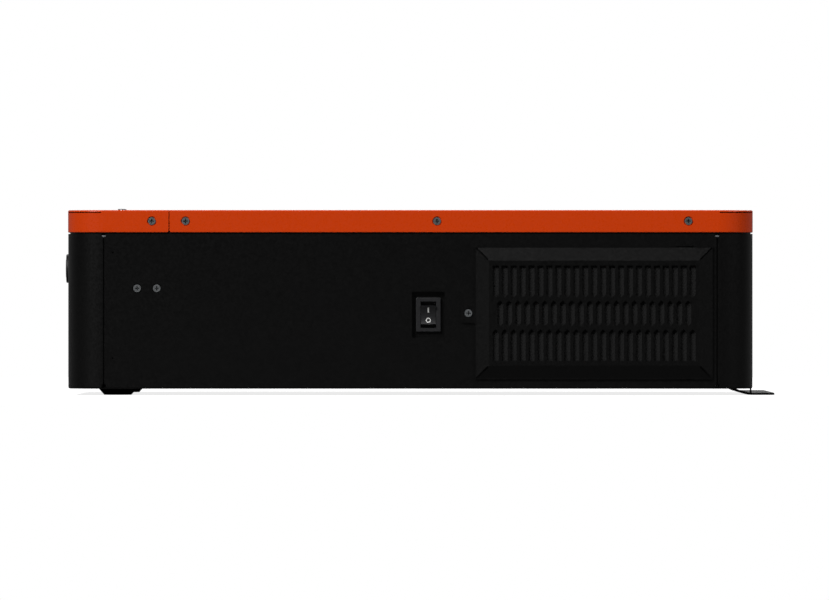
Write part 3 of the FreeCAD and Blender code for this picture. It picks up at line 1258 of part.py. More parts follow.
def ring(x, y, outer, inner, z0, z1):
    up = V(0, 0, 1)
    return rod(outer, V(x, y, z0), up, z1 - z0).cut(rod(inner, V(x, y, z0 - 1), up, z1 - z0 + 2))


def inductor(x, y):
    """Toroid lying on the board: ring core inside a wound sleeve with an open middle."""
    z0, z1 = BOARD_TOP + WIRE_BUILD, BOARD_TOP + WIRE_BUILD + RING_HEIGHT
    top = z1 + WIRE_BUILD
    core = ring(x, y, RING_OUTER, RING_INNER, z0, z1)
    sleeve = ring(x, y, RING_OUTER + WIRE_BUILD, RING_INNER - WIRE_BUILD, BOARD_TOP, top)
    outer_top = [e for e in level_edges(sleeve, top) if e.Length > 2 * math.pi * RING_OUTER]
    sleeve = sleeve.makeFillet(3.0, outer_top)
    hollow = ring(x, y, RING_OUTER + SLIP / 2, RING_INNER - SLIP / 2, z0 - SLIP / 2, z1 + SLIP / 2)
    return core, sleeve.cut(hollow)


def relays():
    x, y, top = BOARD_X0 + 12, BOARD_Y0 + 72, BOARD_TOP + RELAY_HEIGHT
    return [box(x, x + RELAY_LENGTH, y + i * RELAY_PITCH, y + i * RELAY_PITCH + RELAY_WIDTH, BOARD_TOP, top)
            for i in range(RELAYS)]


# ---------------------------------------------------------------- saving
def save(name, shapes):
    """Writes one node; a list is a group of separate solids."""
    shapes = shapes if isinstance(shapes, list) else [shapes]
    solids = [s for shape in shapes for s in shape.Solids]
    group = solids[0] if len(solids) == 1 else Part.makeCompound(solids)
    group = group.copy()
    group.translate(BODY_SHIFT)
    if not group.isValid():
        raise ValueError(name + " is not a valid solid")
    group.exportStep(os.path.join("parts", name + ".step"))
    print(f"{name:24s} {len(solids):3d} solids {group.Volume / 1000:9.2f} cm3")


def main():
    os.makedirs("parts", exist_ok=True)
    save("chassis_tray", chassis_tray())
    save("wiring_end_panel", wiring_end_panel())
    save("top_end_panel", top_end_panel())
    save("corner_brackets", corner_brackets())
    save("main_cover", main_cover())
    save("wiring_cover", wiring_cover())
    save("cover_screws", cover_screws())
    save("cover_post", cover_post())
    save("post_screw", post_screw())
    save("wiring_bulkhead", wiring_bulkhead())
    save("bulkhead_screws", bulkhead_screws())
    save("filter_cover", filter_cover())
    save("filter_foam", filter_foam())
    save("filter_screw", filter_screw())
    for side, (x, z) in zip(("left", "right"), fan_centres()):
        save("fan_frame_" + side, fan_frame(x, z))
        save("fan_rotor_" + side, fan_rotor(x, z))
    save("fan_screws", fan_screws())
    save("switch_plate", switch_plate())
    save("switch_body", switch_body())
    save("switch_rocker", switch_rocker())
    save("switch_blades", switch_blades())
    save("reset_nut", reset_nut())
    save("overload_protector", overload_protector())
    save("reset_button", reset_button())
    save("cable_grommets", cable_grommets())
    sockets, carrier = communication_sockets()
    save("communication_sockets", sockets)
    save("communication_board", carrier)
    save("ac_terminal_block", terminal_block(AC_Y, AC_BAYS))
    save("pv_terminal_block", terminal_block(PV_Y, PV_BAYS))
    save("clamp_screws", clamp_screws())
    save("battery_base", battery_base())
    save("battery_studs", battery_studs())
    save("battery_nuts", battery_nuts())
    save("ground_stud", ground_stud())
    save("display_bezel", display_bezel())
    save("display_window", display_window())
    save("display_lcd", display_lcd())
    save("display_board", display_board())
    save("led_lenses", led_lenses())
    for name, (x, y) in zip(("up", "down", "enter", "back"), key_places()):
        save("key_" + name, key(x, y))
    save("main_board", main_board())
    save("board_standoffs", board_standoffs())
    for side, (x0, x1) in zip(("left", "right"), SINK_SPANS):
        save("heatsink_" + side, heatsink(x0, x1))
    save("heatsink_posts", heatsink_posts())
    save("power_transistors", power_transistors())
    save("bus_capacitors", bus_capacitors())
    core, winding = transformer()
    save("transformer_core", core)
    save("transformer_winding", winding)
    pairs = [inductor(x, y) for x, y in inductor_places()]
    save("inductor_cores", [core for core, _ in pairs])
    save("inductor_windings", [sleeve for _, sleeve in pairs])
    save("relays", relays())


main()
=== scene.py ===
# %% [markdown]
# # A wall-mount solar inverter charger, dressed for the studio
# The frame holds every hard part of the unit at its real size: the black sheet-steel box, the two orange
# covers, the switch, the fans and the boards. This script gives those parts their finishes, adds the soft,
# printed and wound pieces that a drawing program does not make well, and sets up the light and the camera.

import json
import math

import bpy
import numpy as np
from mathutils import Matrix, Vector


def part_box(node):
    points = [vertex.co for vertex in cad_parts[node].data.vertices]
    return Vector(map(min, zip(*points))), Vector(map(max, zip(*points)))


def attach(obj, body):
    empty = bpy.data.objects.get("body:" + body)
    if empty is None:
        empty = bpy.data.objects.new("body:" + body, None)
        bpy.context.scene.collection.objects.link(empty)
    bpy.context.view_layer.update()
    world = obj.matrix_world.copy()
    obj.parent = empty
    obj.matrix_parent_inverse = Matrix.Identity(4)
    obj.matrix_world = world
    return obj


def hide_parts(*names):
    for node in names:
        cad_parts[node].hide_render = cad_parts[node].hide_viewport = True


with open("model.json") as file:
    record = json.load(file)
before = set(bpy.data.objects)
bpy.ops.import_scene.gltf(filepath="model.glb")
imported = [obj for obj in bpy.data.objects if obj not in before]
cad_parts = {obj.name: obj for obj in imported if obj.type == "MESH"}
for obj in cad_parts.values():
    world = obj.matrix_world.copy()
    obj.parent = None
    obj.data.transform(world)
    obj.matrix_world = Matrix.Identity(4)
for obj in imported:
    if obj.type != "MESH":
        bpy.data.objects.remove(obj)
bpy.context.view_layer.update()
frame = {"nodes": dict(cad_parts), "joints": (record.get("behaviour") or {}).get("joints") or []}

# %% [markdown]
# ## Camera
# The unit is seen square on from the switch side with a very long lens, as in a catalogue. A long lens far
# away keeps the box's vertical edges upright. The lens sits a little above half height, so neither the top
# nor the underside shows. Everything is placed from the frame's own boxes.

# %% Make the camera
MM = 0.001
wiring_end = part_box("wiring_end_panel")[0].x
top_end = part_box("top_end_panel")[1].x
MIDDLE_X = (wiring_end + top_end) / 2
SWITCH_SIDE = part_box("top_end_panel")[0].y
CAMERA_DISTANCE = 7.5
CAMERA_HEIGHT = 57.8 * MM
CAMERA_OFFSET = 2.5 * MM
SENSOR = 36.0
LENS = 536.6

camera_data = bpy.data.cameras.new("camera")
camera_data.sensor_width = SENSOR
camera_data.lens = LENS
camera_data.clip_end = 100
camera = bpy.data.objects.new("camera", camera_data)
camera.location = (MIDDLE_X + CAMERA_OFFSET, SWITCH_SIDE - CAMERA_DISTANCE, CAMERA_HEIGHT)
camera.rotation_euler = (math.radians(90), 0, 0)
bpy.context.scene.collection.objects.link(camera)
bpy.context.scene.camera = camera
print("camera at", [round(v, 3) for v in camera.location], "m")

# %% [markdown]
# ## Studio
# Black powder coat goes nearly as dark as a hole when the room in front of it is dark, and lights up only
# where it curves away. So the room is lit from above, from both ends and from behind, and little comes from
# behind the lens. The floor is a pale sheet; the background is white paper.

# %% Light the room
AIM = (MIDDLE_X, 0.0, 0.05)


def softbox(name, place, width, height, watts):
    """A rectangle of light at a place, turned to face the unit."""
    data = bpy.data.lights.new(name, "AREA")
    data.shape = "RECTANGLE"
    data.size, data.size_y = width, height
    data.energy = watts
    lamp = bpy.data.objects.new(name, data)
    lamp.location = place
    to_unit = [a - b for a, b in zip(AIM, place)]
    flat = math.hypot(to_unit[0], to_unit[1])
    lamp.rotation_euler = (math.atan2(flat, -to_unit[2]), 0, math.atan2(to_unit[1], to_unit[0]) - math.pi / 2)
    lamp.visible_camera = False
    bpy.context.scene.collection.objects.link(lamp)


softbox("key_light", (-1.7, -2.3, 2.1), 1.3, 1.1, 112)
softbox("fill_light", (2.3, -1.6, 1.9), 1.2, 1.0, 40)
softbox("back_light", (0.3, 2.4, 1.8), 2.2, 1.2, 30)
print("three soft lights")


# %% [markdown]
# The world behind the lens's view is white paper; what lights the unit from it is a dim room, a little
# brighter overhead and towards the backdrop. The ray's own direction gives its height and how far it looks
# back, and two ramps turn those into brightness. The dim backdrop is what draws the box's rolled corners.

# %% Small helpers for nodes and colour
def linear(hex_colour):
    """sRGB hex to linear: c / 12.92 below 0.04045, else ((c + 0.055) / 1.055) ** 2.4, per channel."""
    c = np.array([int(hex_colour[i:i + 2], 16) for i in (1, 3, 5)]) / 255
    return tuple(np.where(c <= 0.04045, c / 12.92, ((c + 0.055) / 1.055) ** 2.4)) + (1.0,)


def add(tree, kind, settings=None, **inputs):
    """Adds a node; settings go to its properties, and inputs to its sockets as values or links."""
    node = tree.nodes.new("ShaderNode" + kind)
    for key, value in (settings or {}).items():
        setattr(node, key, value)
    for key, value in inputs.items():
        name = key.replace("_", " ")
        socket = node.inputs[int(key[1:])] if key[0] == "i" and key[1:].isdigit() else node.inputs[name]
        if isinstance(value, bpy.types.NodeSocket):
            tree.links.new(value, socket)
        else:
            socket.default_value = value
    return node


# %% Paint the world
WHITE_PAPER = 1.0
OVERHEAD = 0.06
BACKDROP = 0.09
HORIZON = 0.05
world = bpy.data.worlds.new("studio")
bpy.context.scene.world = world
world.use_nodes = True
sky = world.node_tree
sky.nodes.clear()
direction = add(sky, "TexCoord")
parts = add(sky, "SeparateXYZ", Vector=direction.outputs["Generated"])
height = add(sky, "MapRange", {"interpolation_type": "SMOOTHSTEP"}, Value=parts.outputs["Z"],
             From_Min=0.05, From_Max=0.95, To_Min=HORIZON, To_Max=OVERHEAD)
depth = add(sky, "MapRange", {"interpolation_type": "SMOOTHSTEP"}, Value=parts.outputs["Y"],
            From_Min=-0.1, From_Max=0.6, To_Min=0.0, To_Max=BACKDROP)
level = add(sky, "Math", {"operation": "ADD"}, i0=height.outputs["Result"], i1=depth.outputs["Result"])
room = add(sky, "Background", Color=linear("#ffffff"), Strength=level.outputs[0])
paper = add(sky, "Background", Color=linear("#ffffff"), Strength=WHITE_PAPER)
seen = add(sky, "LightPath")
either = add(sky, "MixShader", i0=seen.outputs["Is Camera Ray"], i1=room.outputs[0], i2=paper.outputs[0])
add(sky, "OutputWorld", Surface=either.outputs[0])
bpy.context.scene.view_settings.view_transform = "Standard"
print("world painted")

# %% [markdown]
# ## Floor
# The floor is the frosted top of a light table, a little wider than the unit's shadow. One rectangle does.


# %% Make the floor
def mesh_object(name, points, faces, smooth=True):
    """A mesh from arrays of points and faces, linked to the scene."""
    mesh = bpy.data.meshes.new(name)
    mesh.from_pydata(np.asarray(points, float).tolist(), [], [list(map(int, f)) for f in faces])
    mesh.polygons.foreach_set("use_smooth", [smooth] * len(mesh.polygons))
    mesh.update()
    piece = bpy.data.objects.new(name, mesh)
    bpy.context.scene.collection.objects.link(piece)
    return piece


TABLE_X, TABLE_FRONT, TABLE_BACK = 1.6, -0.8, 1.6
TABLE_DROP = 0.2 * MM
corners = [(-TABLE_X, TABLE_FRONT), (TABLE_X, TABLE_FRONT), (TABLE_X, TABLE_BACK), (-TABLE_X, TABLE_BACK)]
floor = mesh_object("floor", [(x, y, -TABLE_DROP) for x, y in corners], [range(4)], smooth=False)
print("light table", TABLE_X * 2, "x", TABLE_BACK - TABLE_FRONT, "m")


# %% [markdown]
# ## Finishes
# Each finish starts from what the maker orders: a powder coat, a zinc plate, a moulded nylon. Powder coat is
# dry paint melted on the sheet; it leaves a fine orange-peel skin, so its bump is a soft noise of about a
# millimetre. Extruded aluminium shows faint streaks along its die lines. Everything reads object coordinates
# in metres.

# %% A finish with its skin
def finish(name, colour, roughness, metallic=0.0, grain_mm=1.2, bump_mm=0.01, ior=1.5, vary=0.05, coat=0.0,
           stretch=(1, 1, 1), contrast=0.12):
    """A shader with a grain.

    Noise of grain_mm shifts the roughness by vary and lifts the skin by bump_mm; a slow drift shifts the
    colour by contrast.
    """
    material = bpy.data.materials.new(name)
    material.use_nodes = True
    tree = material.node_tree
    tree.nodes.clear()
    where = add(tree, "TexCoord").outputs["Object"]
    placed = add(tree, "Mapping", Vector=where, Scale=stretch).outputs[0]
    grain = add(tree, "TexNoise", Vector=placed, Scale=1 / (grain_mm * MM), Detail=3.0, Roughness=0.55)
    drift = add(tree, "TexNoise", Vector=where, Scale=18.0, Detail=2.0)
    base = np.array(linear(colour)[:3])
    mix = add(tree, "Mix", {"data_type": "RGBA"}, i0=drift.outputs["Fac"])
    mix.inputs[6].default_value = tuple(base * (1 - contrast)) + (1,)
    mix.inputs[7].default_value = tuple(np.minimum(base * (1 + contrast), 1)) + (1,)
    rough = add(tree, "MapRange", Value=grain.outputs["Fac"], From_Min=0.3, From_Max=0.7,
                To_Min=roughness - vary, To_Max=roughness + vary)
    skin = add(tree, "Bump", Height=grain.outputs["Fac"], Distance=bump_mm * MM, Strength=1.0)
    shader = add(tree, "BsdfPrincipled", Base_Color=mix.outputs[2], Roughness=rough.outputs[0],
                 Metallic=metallic, IOR=ior, Normal=skin.outputs[0])
    if coat:
        shader.inputs["Coat Weight"].default_value = coat
    add(tree, "OutputMaterial", Surface=shader.outputs[0])
    return material


# Epoxy-polyester powder coat, fine texture, near black.
black_powder_coat = finish("black_powder_coat", "#040404", 0.34, grain_mm=1.3, bump_mm=0.005, ior=1.34,
                           contrast=0.05)
# Polyester powder coat, satin, deep orange.
orange_powder_coat = finish("orange_powder_coat", "#c93b03", 0.3, grain_mm=1.6, bump_mm=0.01, ior=1.4,
                            contrast=0.02)
# Sheet and posts with bright zinc plate straight from the bath.
zinc_plate = finish("zinc_plate", "#c9cbce", 0.35, metallic=1.0, grain_mm=0.9, bump_mm=0.004)
# Cold-headed screw steel with a thin zinc plate, dulled by handling.
plated_screw_steel = finish("plated_screw_steel", "#8c8f91", 0.42, metallic=1.0, grain_mm=0.5, bump_mm=0.004)
# Tinned brass of studs and blades.
tinned_brass = finish("tinned_brass", "#cdbb92", 0.3, metallic=1.0, grain_mm=0.7, bump_mm=0.003)
# Glass-filled nylon, spark-eroded mould: a fine even matt.
black_nylon = finish("black_nylon", "#141415", 0.5, grain_mm=0.6, bump_mm=0.01)
# The switch's own nylon is a shade greyer.
switch_nylon = finish("switch_nylon", "#18181a", 0.42, grain_mm=0.7, bump_mm=0.008)
# Silicone keys: soft, dry.
key_silicone = finish("key_silicone", "#2b2c2e", 0.6, grain_mm=0.7, bump_mm=0.008)
# Moulded EPDM rubber of the cable bushes.
bush_rubber = finish("bush_rubber", "#101010", 0.68, grain_mm=0.8, bump_mm=0.015)
# Solder mask over woven glass: the cloth shows through as a fine even grain.
solder_mask = finish("solder_mask", "#0e4a2a", 0.35, grain_mm=1.0, bump_mm=0.006)
# Extruded aluminium: die lines run along the fins, which lie along Y.
extruded_aluminium = finish("extruded_aluminium", "#b9bbbe", 0.4, metallic=1.0, grain_mm=0.8, bump_mm=0.006,
                            stretch=(1, 0.02, 1))
# Shrink sleeve of the capacitors.
shrink_sleeve = finish("shrink_sleeve", "#10182e", 0.3, grain_mm=1.0, bump_mm=0.004, coat=0.3)
# Sintered ferrite: dark grey, dense, slightly rough.
ferrite = finish("ferrite", "#2a2a2c", 0.6, grain_mm=0.5, bump_mm=0.01)
# Enamelled copper wire under clear varnish.
enamelled_copper = finish("enamelled_copper", "#b5652f", 0.3, metallic=1.0, grain_mm=1.0, bump_mm=0.004,
                          coat=0.5)
# Open-cell polyurethane filter foam.
filter_foam_skin = finish("filter_foam_skin", "#0b0b0b", 0.95, grain_mm=1.6, bump_mm=0.15, vary=0.03)
# White pad-printing ink.
white_ink = finish("white_ink", "#cfcfcd", 0.5, grain_mm=0.4, bump_mm=0.002, contrast=0.02)
# Frosted acrylic of a light table, lit from below: the lens sees it near white with a faint shadow, and it
# throws little light back up at the unit.
light_table = bpy.data.materials.new("light_table")
light_table.use_nodes = True
table_tree = light_table.node_tree
table_tree.nodes.clear()
glow = add(table_tree, "Emission", Color=linear("#ffffff"), Strength=0.82)
frost = add(table_tree, "BsdfDiffuse", Color=linear("#c8c8c8"))
lit = add(table_tree, "AddShader", i0=glow.outputs[0], i1=frost.outputs[0])
dim = add(table_tree, "BsdfDiffuse", Color=linear("#707070"))
to_lens = add(table_tree, "LightPath").outputs["Is Camera Ray"]
shown = add(table_tree, "MixShader", i0=to_lens, i1=dim.outputs[0], i2=lit.outputs[0])
add(table_tree, "OutputMaterial", Surface=shown.outputs[0])
floor.data.materials.append(light_table)
print(len(bpy.data.materials), "finishes")


# %% [markdown]
# Two pieces let light through. The display window is smoked acrylic, and the lamp lenses are clear
# polycarbonate. Both use the shader's transmission with the index of the plastic.

# %% Clear plastics
def clear_plastic(name, colour, roughness, ior):
    """A see-through moulding: transmission 1, tinted by its base colour."""
    material = finish(name, colour, roughness, ior=ior, grain_mm=4.0, bump_mm=0.0, vary=0.01, contrast=0.02)
    shader = next(n for n in material.node_tree.nodes if n.type == "BSDF_PRINCIPLED")
    shader.inputs["Transmission Weight"].default_value = 1.0
    return material


smoked_acrylic = clear_plastic("smoked_acrylic", "#7d8488", 0.06, 1.49)
clear_lens = clear_plastic("clear_lens", "#e8e8e0", 0.25, 1.58)
# The liquid-crystal cell: grey-green glass over a reflector.
lcd_glass = finish("lcd_glass", "#5b6a5c", 0.15, grain_mm=3.0, bump_mm=0.0, ior=1.52)

# %% Dress every node of the frame
WEARS = {
    black_powder_coat: ["chassis_tray", "wiring_end_panel", "top_end_panel", "filter_cover", "switch_plate",
                        "wiring_bulkhead"],
    orange_powder_coat: ["main_cover", "wiring_cover"],
    zinc_plate: ["corner_brackets", "cover_post", "board_standoffs", "heatsink_posts"],
    plated_screw_steel: ["cover_screws", "post_screw", "bulkhead_screws", "fan_screws", "filter_screw",
                         "battery_nuts", "ground_stud", "clamp_screws"],
    tinned_brass: ["battery_studs", "switch_blades"],
    black_nylon: ["reset_nut", "overload_protector", "fan_frame_left", "fan_frame_right", "fan_rotor_left",
                  "fan_rotor_right", "communication_sockets", "ac_terminal_block", "pv_terminal_block",
                  "battery_base", "relays", "display_bezel", "power_transistors"],
    switch_nylon: ["switch_body", "switch_rocker"],
    key_silicone: ["reset_button", "key_up", "key_down", "key_enter", "key_back"],
    bush_rubber: ["cable_grommets"],
    filter_foam_skin: ["filter_foam"],
    smoked_acrylic: ["display_window"],
    lcd_glass: ["display_lcd"],
    clear_lens: ["led_lenses"],
    solder_mask: ["main_board", "display_board", "communication_board"],
    extruded_aluminium: ["heatsink_left", "heatsink_right"],
    shrink_sleeve: ["bus_capacitors"],
    ferrite: ["transformer_core", "inductor_cores"],
    enamelled_copper: ["transformer_winding", "inductor_windings"],
}
for material, names in WEARS.items():
    for name in names:
        frame["nodes"][name].data.materials.clear()
        frame["nodes"][name].data.materials.append(material)
dressed = {n for names in WEARS.values() for n in names}
print("nodes without a finish:", sorted(set(frame["nodes"]) - dressed))

# %% [markdown]
# ## Marks on the rocker
# The rocker carries a printed bar for on and a ring for off. The ink is a film on a dished face, so each mark
# is a thin patch bent to the same arc. A patch is a grid of two parameters; the arc gives its depth.

# %% The rocker's dished face
ROCKER_CREST = 4.1 * MM
ROCKER_DISH = 2.7 * MM
ROCKER_HALF = 5.5 * MM
INK = 0.05 * MM
tilt_joint = next(j for j in frame["joints"] if j["name"] == "rocker_tilt")
PIVOT = np.array(tilt_joint["pos_m"])
TILT = math.radians(tilt_joint["range_deg"][1] / 2)
sag = ROCKER_CREST - ROCKER_DISH
DISH_RADIUS = (ROCKER_HALF**2 + sag**2) / (2 * sag)


def on_rocker(x, z, lift):
    """Points over the dish: depth = dish + R - sqrt(R^2 - z^2) towards -Y, tilted about the pivot."""
    y = -(ROCKER_DISH + DISH_RADIUS - np.sqrt(DISH_RADIUS**2 - z**2)) - lift
    c, s = math.cos(TILT), math.sin(TILT)
    return PIVOT + np.stack([x, y * c - z * s, y * s + z * c], -1)


def closed_grid(rows, columns, wrap_rows=False, wrap_columns=False):
    """Faces of a grid of points as an index array, by shifting one index table."""
    table = np.arange(rows * columns).reshape(rows, columns)
    if wrap_rows:
        table = np.vstack([table, table[:1]])
    if wrap_columns:
        table = np.hstack([table, table[:, :1]])
    a, b, c, d = table[:-1, :-1], table[1:, :-1], table[1:, 1:], table[:-1, 1:]
    return np.stack([a, b, c, d], -1).reshape(-1, 4)


def film(name, x, z):
    """A closed film of ink: the outline loop at two lifts, with one face at each end."""
    n = len(x)
    loops = np.concatenate([on_rocker(x, z, -INK), on_rocker(x, z, INK)])
    sides = closed_grid(2, n, wrap_columns=True)
    faces = [f for f in sides] + [range(n)[::-1], range(n, 2 * n)]
    return mesh_object(name, loops, faces, smooth=False)


BAR_WIDTH, BAR_HEIGHT, BAR_UP = 0.85 * MM, 3.1 * MM, 3.1 * MM
RING_RADIUS, RING_WIDTH, RING_DOWN = 1.2 * MM, 0.55 * MM, 3.2 * MM
BAR_ROWS = 9
RING_STEPS = 40
up = np.linspace(-1, 1, BAR_ROWS) * BAR_HEIGHT / 2 + BAR_UP
bar_x = np.repeat([-BAR_WIDTH / 2, BAR_WIDTH / 2], BAR_ROWS)
bar_z = np.concatenate([up, up[::-1]])


def ring_film(name):
    """A ring of ink: an inner and an outer circle, each at two lifts, joined into a closed band."""
    angle = np.linspace(0, 2 * np.pi, RING_STEPS, endpoint=False)
    section = [(RING_RADIUS - RING_WIDTH / 2, -INK), (RING_RADIUS + RING_WIDTH / 2, -INK),
               (RING_RADIUS + RING_WIDTH / 2, INK), (RING_RADIUS - RING_WIDTH / 2, INK)]
    loops = [on_rocker(r * np.cos(angle), r * np.sin(angle) - RING_DOWN, lift) for r, lift in section]
    faces = closed_grid(len(section), RING_STEPS, wrap_rows=True, wrap_columns=True)
    return mesh_object(name, np.concatenate(loops), faces, smooth=False)


marks = [film("rocker_on_bar", bar_x, bar_z), ring_film("rocker_off_ring")]
for mark in marks:
    mark.data.materials.append(white_ink)
    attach(mark, "rocker")
print("rocker marks printed")

# %% [markdown]
# ## Filter foam
# Behind the slots lies a sheet of open-cell foam. Its face is all small pits, so it has no shine and reads as
# one even dark tone behind the paint. The pits are three sets of waves laid over one another at odd angles;
# the sheet is then given its thickness by a solidify modifier, as foam is cut from one thick sheet.

# %% Make the foam
foam_low, foam_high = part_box("filter_foam")
PIT = 1.7 * MM
PIT_DEPTH = 0.22 * MM
nx, nz = 230, 120
gx, gz = np.meshgrid(np.linspace(foam_low.x, foam_high.x, nx), np.linspace(foam_low.z, foam_high.z, nz))
pits = sum(np.cos(2 * np.pi / PIT * (gx * math.cos(a) + gz * math.sin(a)) + 1.7 * k)
           for k, a in enumerate((0.2, 1.3, 2.35)))
gy = foam_low.y + PIT_DEPTH * (1.1 + pits / 3)
foam = mesh_object("filter_foam_sheet", np.stack([gx, gy, gz], -1).reshape(-1, 3), closed_grid(nz, nx))
solid = foam.modifiers.new("thickness", "SOLIDIFY")
solid.thickness = (foam_high.y - foam_low.y) - 3 * PIT_DEPTH
solid.offset = 1.0
facing = np.mean([p.normal.y for p in foam.data.polygons[:50]])
print("foam sheet", nx * nz, "points, facing", round(float(facing), 2))
foam.data.materials.append(filter_foam_skin)
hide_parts("filter_foam")
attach(foam, "filter_cover")

# %% [markdown]
# ## Cable bushes
# Each cable entry has a moulded rubber bush: a thin lip outside, a groove that holds the sheet's edge, and a
# thicker lip inside. It is a turned shape, so one section is spun about the entry's axis. The section's
# corners are rounded, because rubber comes from the mould that way.


# %% Spin the bushes
def turned(section, centre, steps):
    """Points of a section (along, radius) spun about the X axis through centre: r cos, r sin."""
    angle = np.linspace(0, 2 * np.pi, steps, endpoint=False)
    along, radius = np.asarray(section, float).T
    x = centre[0] + np.repeat(along[:, None], steps, 1)
    y = centre[1] + radius[:, None] * np.cos(angle)
    z = centre[2] + radius[:, None] * np.sin(angle)
    return np.stack([x, y, z], -1).reshape(-1, 3)


def rounded_section(corners, round_mm, steps=5):
    """A closed section whose corners are cut by quadratic arcs: (1-t)^2 a + 2t(1-t) b + t^2 c."""
    c = np.asarray(corners, float)
    before, after = np.roll(c, 1, 0), np.roll(c, -1, 0)
    t = np.linspace(0, 1, steps)[:, None]
    out = []
    for p, q, r in zip(before, c, after):
        cut = min(round_mm * MM, np.linalg.norm(p - q) * 0.45, np.linalg.norm(r - q) * 0.45)
        a = q + (p - q) / np.linalg.norm(p - q) * cut
        b = q + (r - q) / np.linalg.norm(r - q) * cut
        out.append((1 - t)**2 * a + 2 * t * (1 - t) * q + t**2 * b)
    return np.concatenate(out)


def gathered(name, parts):
    """One mesh from several (points, faces) pairs."""
    offsets = np.cumsum([0] + [len(points) for points, _ in parts[:-1]])
    faces = np.concatenate([faces + offset for (_, faces), offset in zip(parts, offsets)])
    return mesh_object(name, np.concatenate([points for points, _ in parts]), faces)


bush_low, bush_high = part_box("cable_grommets")
WALL, LIP, PROUD, SHEET = 2.0 * MM, 2.2 * MM, 0.8 * MM, 1.2 * MM
BUSH_GAP = 1 * MM
BUSH_STEPS = 64
BUSH_ROUND_MM = 0.35
BACK_LIP = 0.94
rough_bushes = frame["nodes"]["cable_grommets"].data
where = np.empty(len(rough_bushes.vertices) * 3)
rough_bushes.vertices.foreach_get("co", where)
along_y = np.sort(where.reshape(-1, 3)[:, 1])
gaps = np.flatnonzero(np.diff(along_y) > BUSH_GAP)
starts, ends = along_y[np.append(0, gaps + 1)], along_y[np.append(gaps, len(along_y) - 1)]
row_z = (bush_low.z + bush_high.z) / 2
depth = bush_high.x - bush_low.x
parts = []
for start, end in zip(starts, ends):
    lip = (end - start) / 2
    r, neck = lip - LIP - WALL, lip - LIP
    corners = [(0, r), (0, lip), (PROUD, lip), (PROUD, neck), (PROUD + SHEET, neck), (PROUD + SHEET, lip),
               (depth, lip * BACK_LIP), (depth, r)]
    section = rounded_section(corners, BUSH_ROUND_MM)
    points = turned(section, (bush_low.x, (start + end) / 2, row_z), BUSH_STEPS)
    parts.append((points, closed_grid(len(section), BUSH_STEPS, wrap_rows=True, wrap_columns=True)))
bushes = gathered("moulded_cable_bushes", parts)
bushes.data.materials.append(bush_rubber)
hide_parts("cable_grommets")
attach(bushes, "housing")
print(len(parts), "bushes of radius", [round(float(e - s) / 2 / MM, 1) for s, e in zip(starts, ends)], "mm")

# %% [markdown]
# ## Windings
# The chokes are rings wound by hand with thick enamelled wire, and the transformer's coil is wound in layers
# on a former. From outside each shows rows of round wire. One grid with a bead for every turn gives that:
# the bead's height is the circle of the wire, repeated round the ring or up the coil.

# %% Wind the chokes
def bead(phase):
    """Height of a round wire over its own width, 0 to 1: sqrt(1 - s^2), with s from -1 to 1 across a turn."""
    s = 2 * (phase % 1.0) - 1
    return np.sqrt(np.maximum(1 - s**2, 0))


choke_low, choke_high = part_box("inductor_windings")
CHOKES = 3
TURNS = 40
POINTS_PER_TURN = 9
WIRE = 1.3 * MM
RING_THICKNESS = 15.0 * MM
height = choke_high.z - choke_low.z
outer = (choke_high.x - choke_low.x) / 2
inner = outer - RING_THICKNESS
middle, half_width, half_height = (outer + inner) / 2, (outer - inner) / 2, height / 2
nu, nv = TURNS * POINTS_PER_TURN, 40
u, v = np.meshgrid(np.arange(nu) / nu, np.arange(nv) / nv, indexing="ij")
lift = WIRE * bead(u * TURNS)
ca, sa = np.cos(2 * np.pi * v), np.sin(2 * np.pi * v)
square = (np.abs(ca)**5 + np.abs(sa)**5)**-0.2
across = (half_width - WIRE + lift) * square * ca
rise = (half_height - WIRE + lift) * square * sa
radius = middle + across
ring_x, ring_y = radius * np.cos(2 * np.pi * u), radius * np.sin(2 * np.pi * u)
centre_x = (choke_low.x + choke_high.x) / 2
spacing = (choke_high.y - choke_low.y - 2 * outer) / 2
faces = closed_grid(nu, nv, wrap_rows=True, wrap_columns=True)
parts = []
for k in range(CHOKES):
    points = np.stack([centre_x + ring_x, choke_low.y + outer + k * spacing + ring_y,
                       choke_low.z + half_height + rise], -1)
    parts.append((points.reshape(-1, 3), faces[:, ::-1]))
chokes = gathered("choke_windings", parts)
chokes.data.materials.append(enamelled_copper)
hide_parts("inductor_windings")
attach(chokes, "housing")
print("three chokes of", TURNS, "turns")

# %% Wind the transformer's coil
coil_low, coil_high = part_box("transformer_winding")
COIL_TURNS = 20
COIL_WIRE = 0.8 * MM
nz, na = COIL_TURNS * 8 + 1, 120
angle = 2 * np.pi * np.arange(na) / na
half_x, half_y = (coil_high.x - coil_low.x) / 2, (coil_high.y - coil_low.y) / 2
ca, sa = np.cos(angle), np.sin(angle)
square = (np.abs(ca)**6 + np.abs(sa)**6)**(-1 / 6)
level = np.linspace(0, 1, nz)
lift = COIL_WIRE * (bead(level[:, None] * COIL_TURNS * 0.9999 + angle[None] / (2 * np.pi)) - 1)
x = (half_x + lift) * square * ca
y = (half_y + lift) * square * sa
z = np.repeat(level[:, None] * (coil_high.z - coil_low.z), na, 1)
LEG_X, LEG_Y = 8.2 * MM, 14.2 * MM
hole_x, hole_y = LEG_X * square * ca, LEG_Y * square * sa
rows_x = np.vstack([x, hole_x, hole_x])
rows_y = np.vstack([y, hole_y, hole_y])
rows_z = np.vstack([z, np.full(na, z.max()), np.zeros(na)])
points = np.stack([(coil_low.x + coil_high.x) / 2 + rows_x, (coil_low.y + coil_high.y) / 2 + rows_y,
                   coil_low.z + rows_z], -1)
coil = mesh_object("transformer_coil", points.reshape(-1, 3),
                   closed_grid(nz + 2, na, wrap_rows=True, wrap_columns=True)[:, ::-1])
coil.data.materials.append(enamelled_copper)
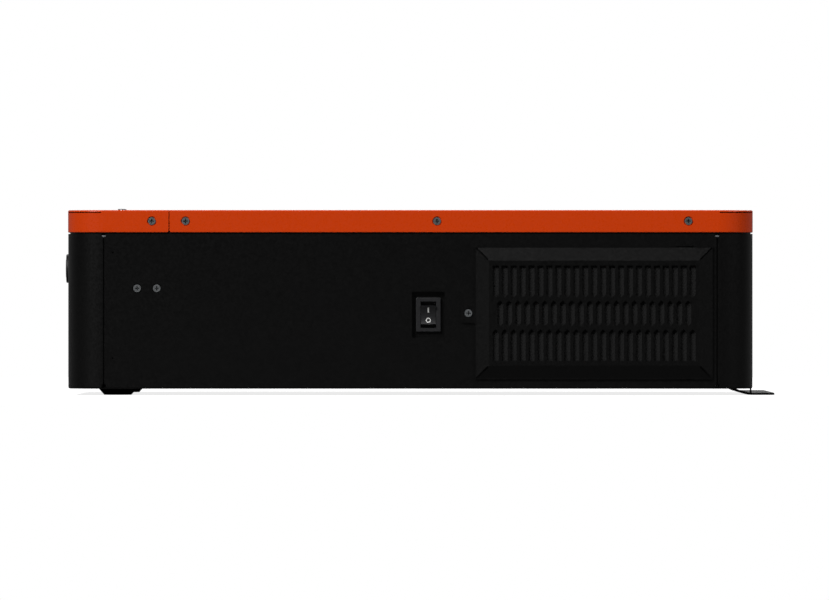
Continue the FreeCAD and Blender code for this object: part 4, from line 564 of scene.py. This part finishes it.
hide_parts("transformer_winding")
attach(coil, "housing")
print("coil of", COIL_TURNS, "turns")

# %% [markdown]
# ## Threads
# The battery studs are rolled M8 threads. A thread is one ridge that climbs as it turns, so its height
# depends on the place along the stud less the share of a turn. A grid in those two parameters makes it.


# %% Roll the threads
def threaded(x, y, z0, z1, radius, pitch, ridge):
    """A closed stud: radius less a triangle wave of (z / pitch - angle / 2 pi), its tip chamfered."""
    steps, rows = 36, int((z1 - z0) / pitch * 8)
    angle = 2 * np.pi * np.arange(steps) / steps
    z = np.linspace(z0, z1, rows)[:, None]
    wave = np.abs(((z / pitch - angle / (2 * np.pi)) % 1.0) * 2 - 1)
    chamfer = np.clip((z1 - z) / (0.8 * MM), 0, 1)
    r = radius - ridge * wave - 0.7 * MM * (1 - chamfer)
    grid = np.stack([x + r * np.cos(angle), y + r * np.sin(angle), np.repeat(z, steps, 1)], -1)
    ends = np.array([[x, y, z0], [x, y, z1]])
    first, last = np.repeat(ends[:1], steps, 0), np.repeat(ends[1:], steps, 0)
    points = np.concatenate([first, grid.reshape(-1, 3), last])
    return points, closed_grid(rows + 2, steps, wrap_columns=True)[:, ::-1]


stud_low, stud_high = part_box("battery_studs")
STUD = 4.0 * MM
PITCH = 1.25 * MM
RIDGE = 0.6 * MM
parts = [threaded((stud_low.x + stud_high.x) / 2, y, stud_low.z, stud_high.z, STUD, PITCH, RIDGE)
         for y in (stud_low.y + STUD, stud_high.y - STUD)]
studs = gathered("rolled_battery_studs", parts)
studs.data.materials.append(tinned_brass)
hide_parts("battery_studs")
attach(studs, "housing")
print("two threaded studs")

# %% [markdown]
# ## Key marks
# The four keys are marked for up, down, enter and back with two triangles, a disc and a square. The ink is a
# thin plate let into the key's top. Each mark is an outline pushed up by the thickness of the film.


# %% Print the keys
def plate(name, outline, z0, z1):
    """A flat plate from an outline of (x, y) points, closed top and bottom."""
    n = len(outline)
    points = [(x, y, z) for z in (z0, z1) for x, y in outline]
    sides = closed_grid(2, n, wrap_columns=True)[:, ::-1]
    return mesh_object(name, points, [f for f in sides] + [range(n)[::-1], range(n, 2 * n)], smooth=False)


MARK = 1.6 * MM
INK_SUNK = 0.04 * MM
INK_PROUD = 0.02 * MM
shapes = {
    "up": [90, 210, 330],
    "down": [270, 30, 150],
    "enter": range(0, 360, 12),
    "back": [45, 135, 225, 315],
}
for key, angles in shapes.items():
    low_corner, high_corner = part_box("key_" + key)
    mx, my = (low_corner.x + high_corner.x) / 2, (low_corner.y + high_corner.y) / 2
    outline = [(mx + MARK * math.cos(turn), my + MARK * math.sin(turn)) for turn in map(math.radians, angles)]
    top = high_corner.z
    mark = plate("key_mark_" + key, outline, top - INK_SUNK, top + INK_PROUD)
    mark.data.materials.append(white_ink)
    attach(mark, "key_" + key)
print("key marks printed")
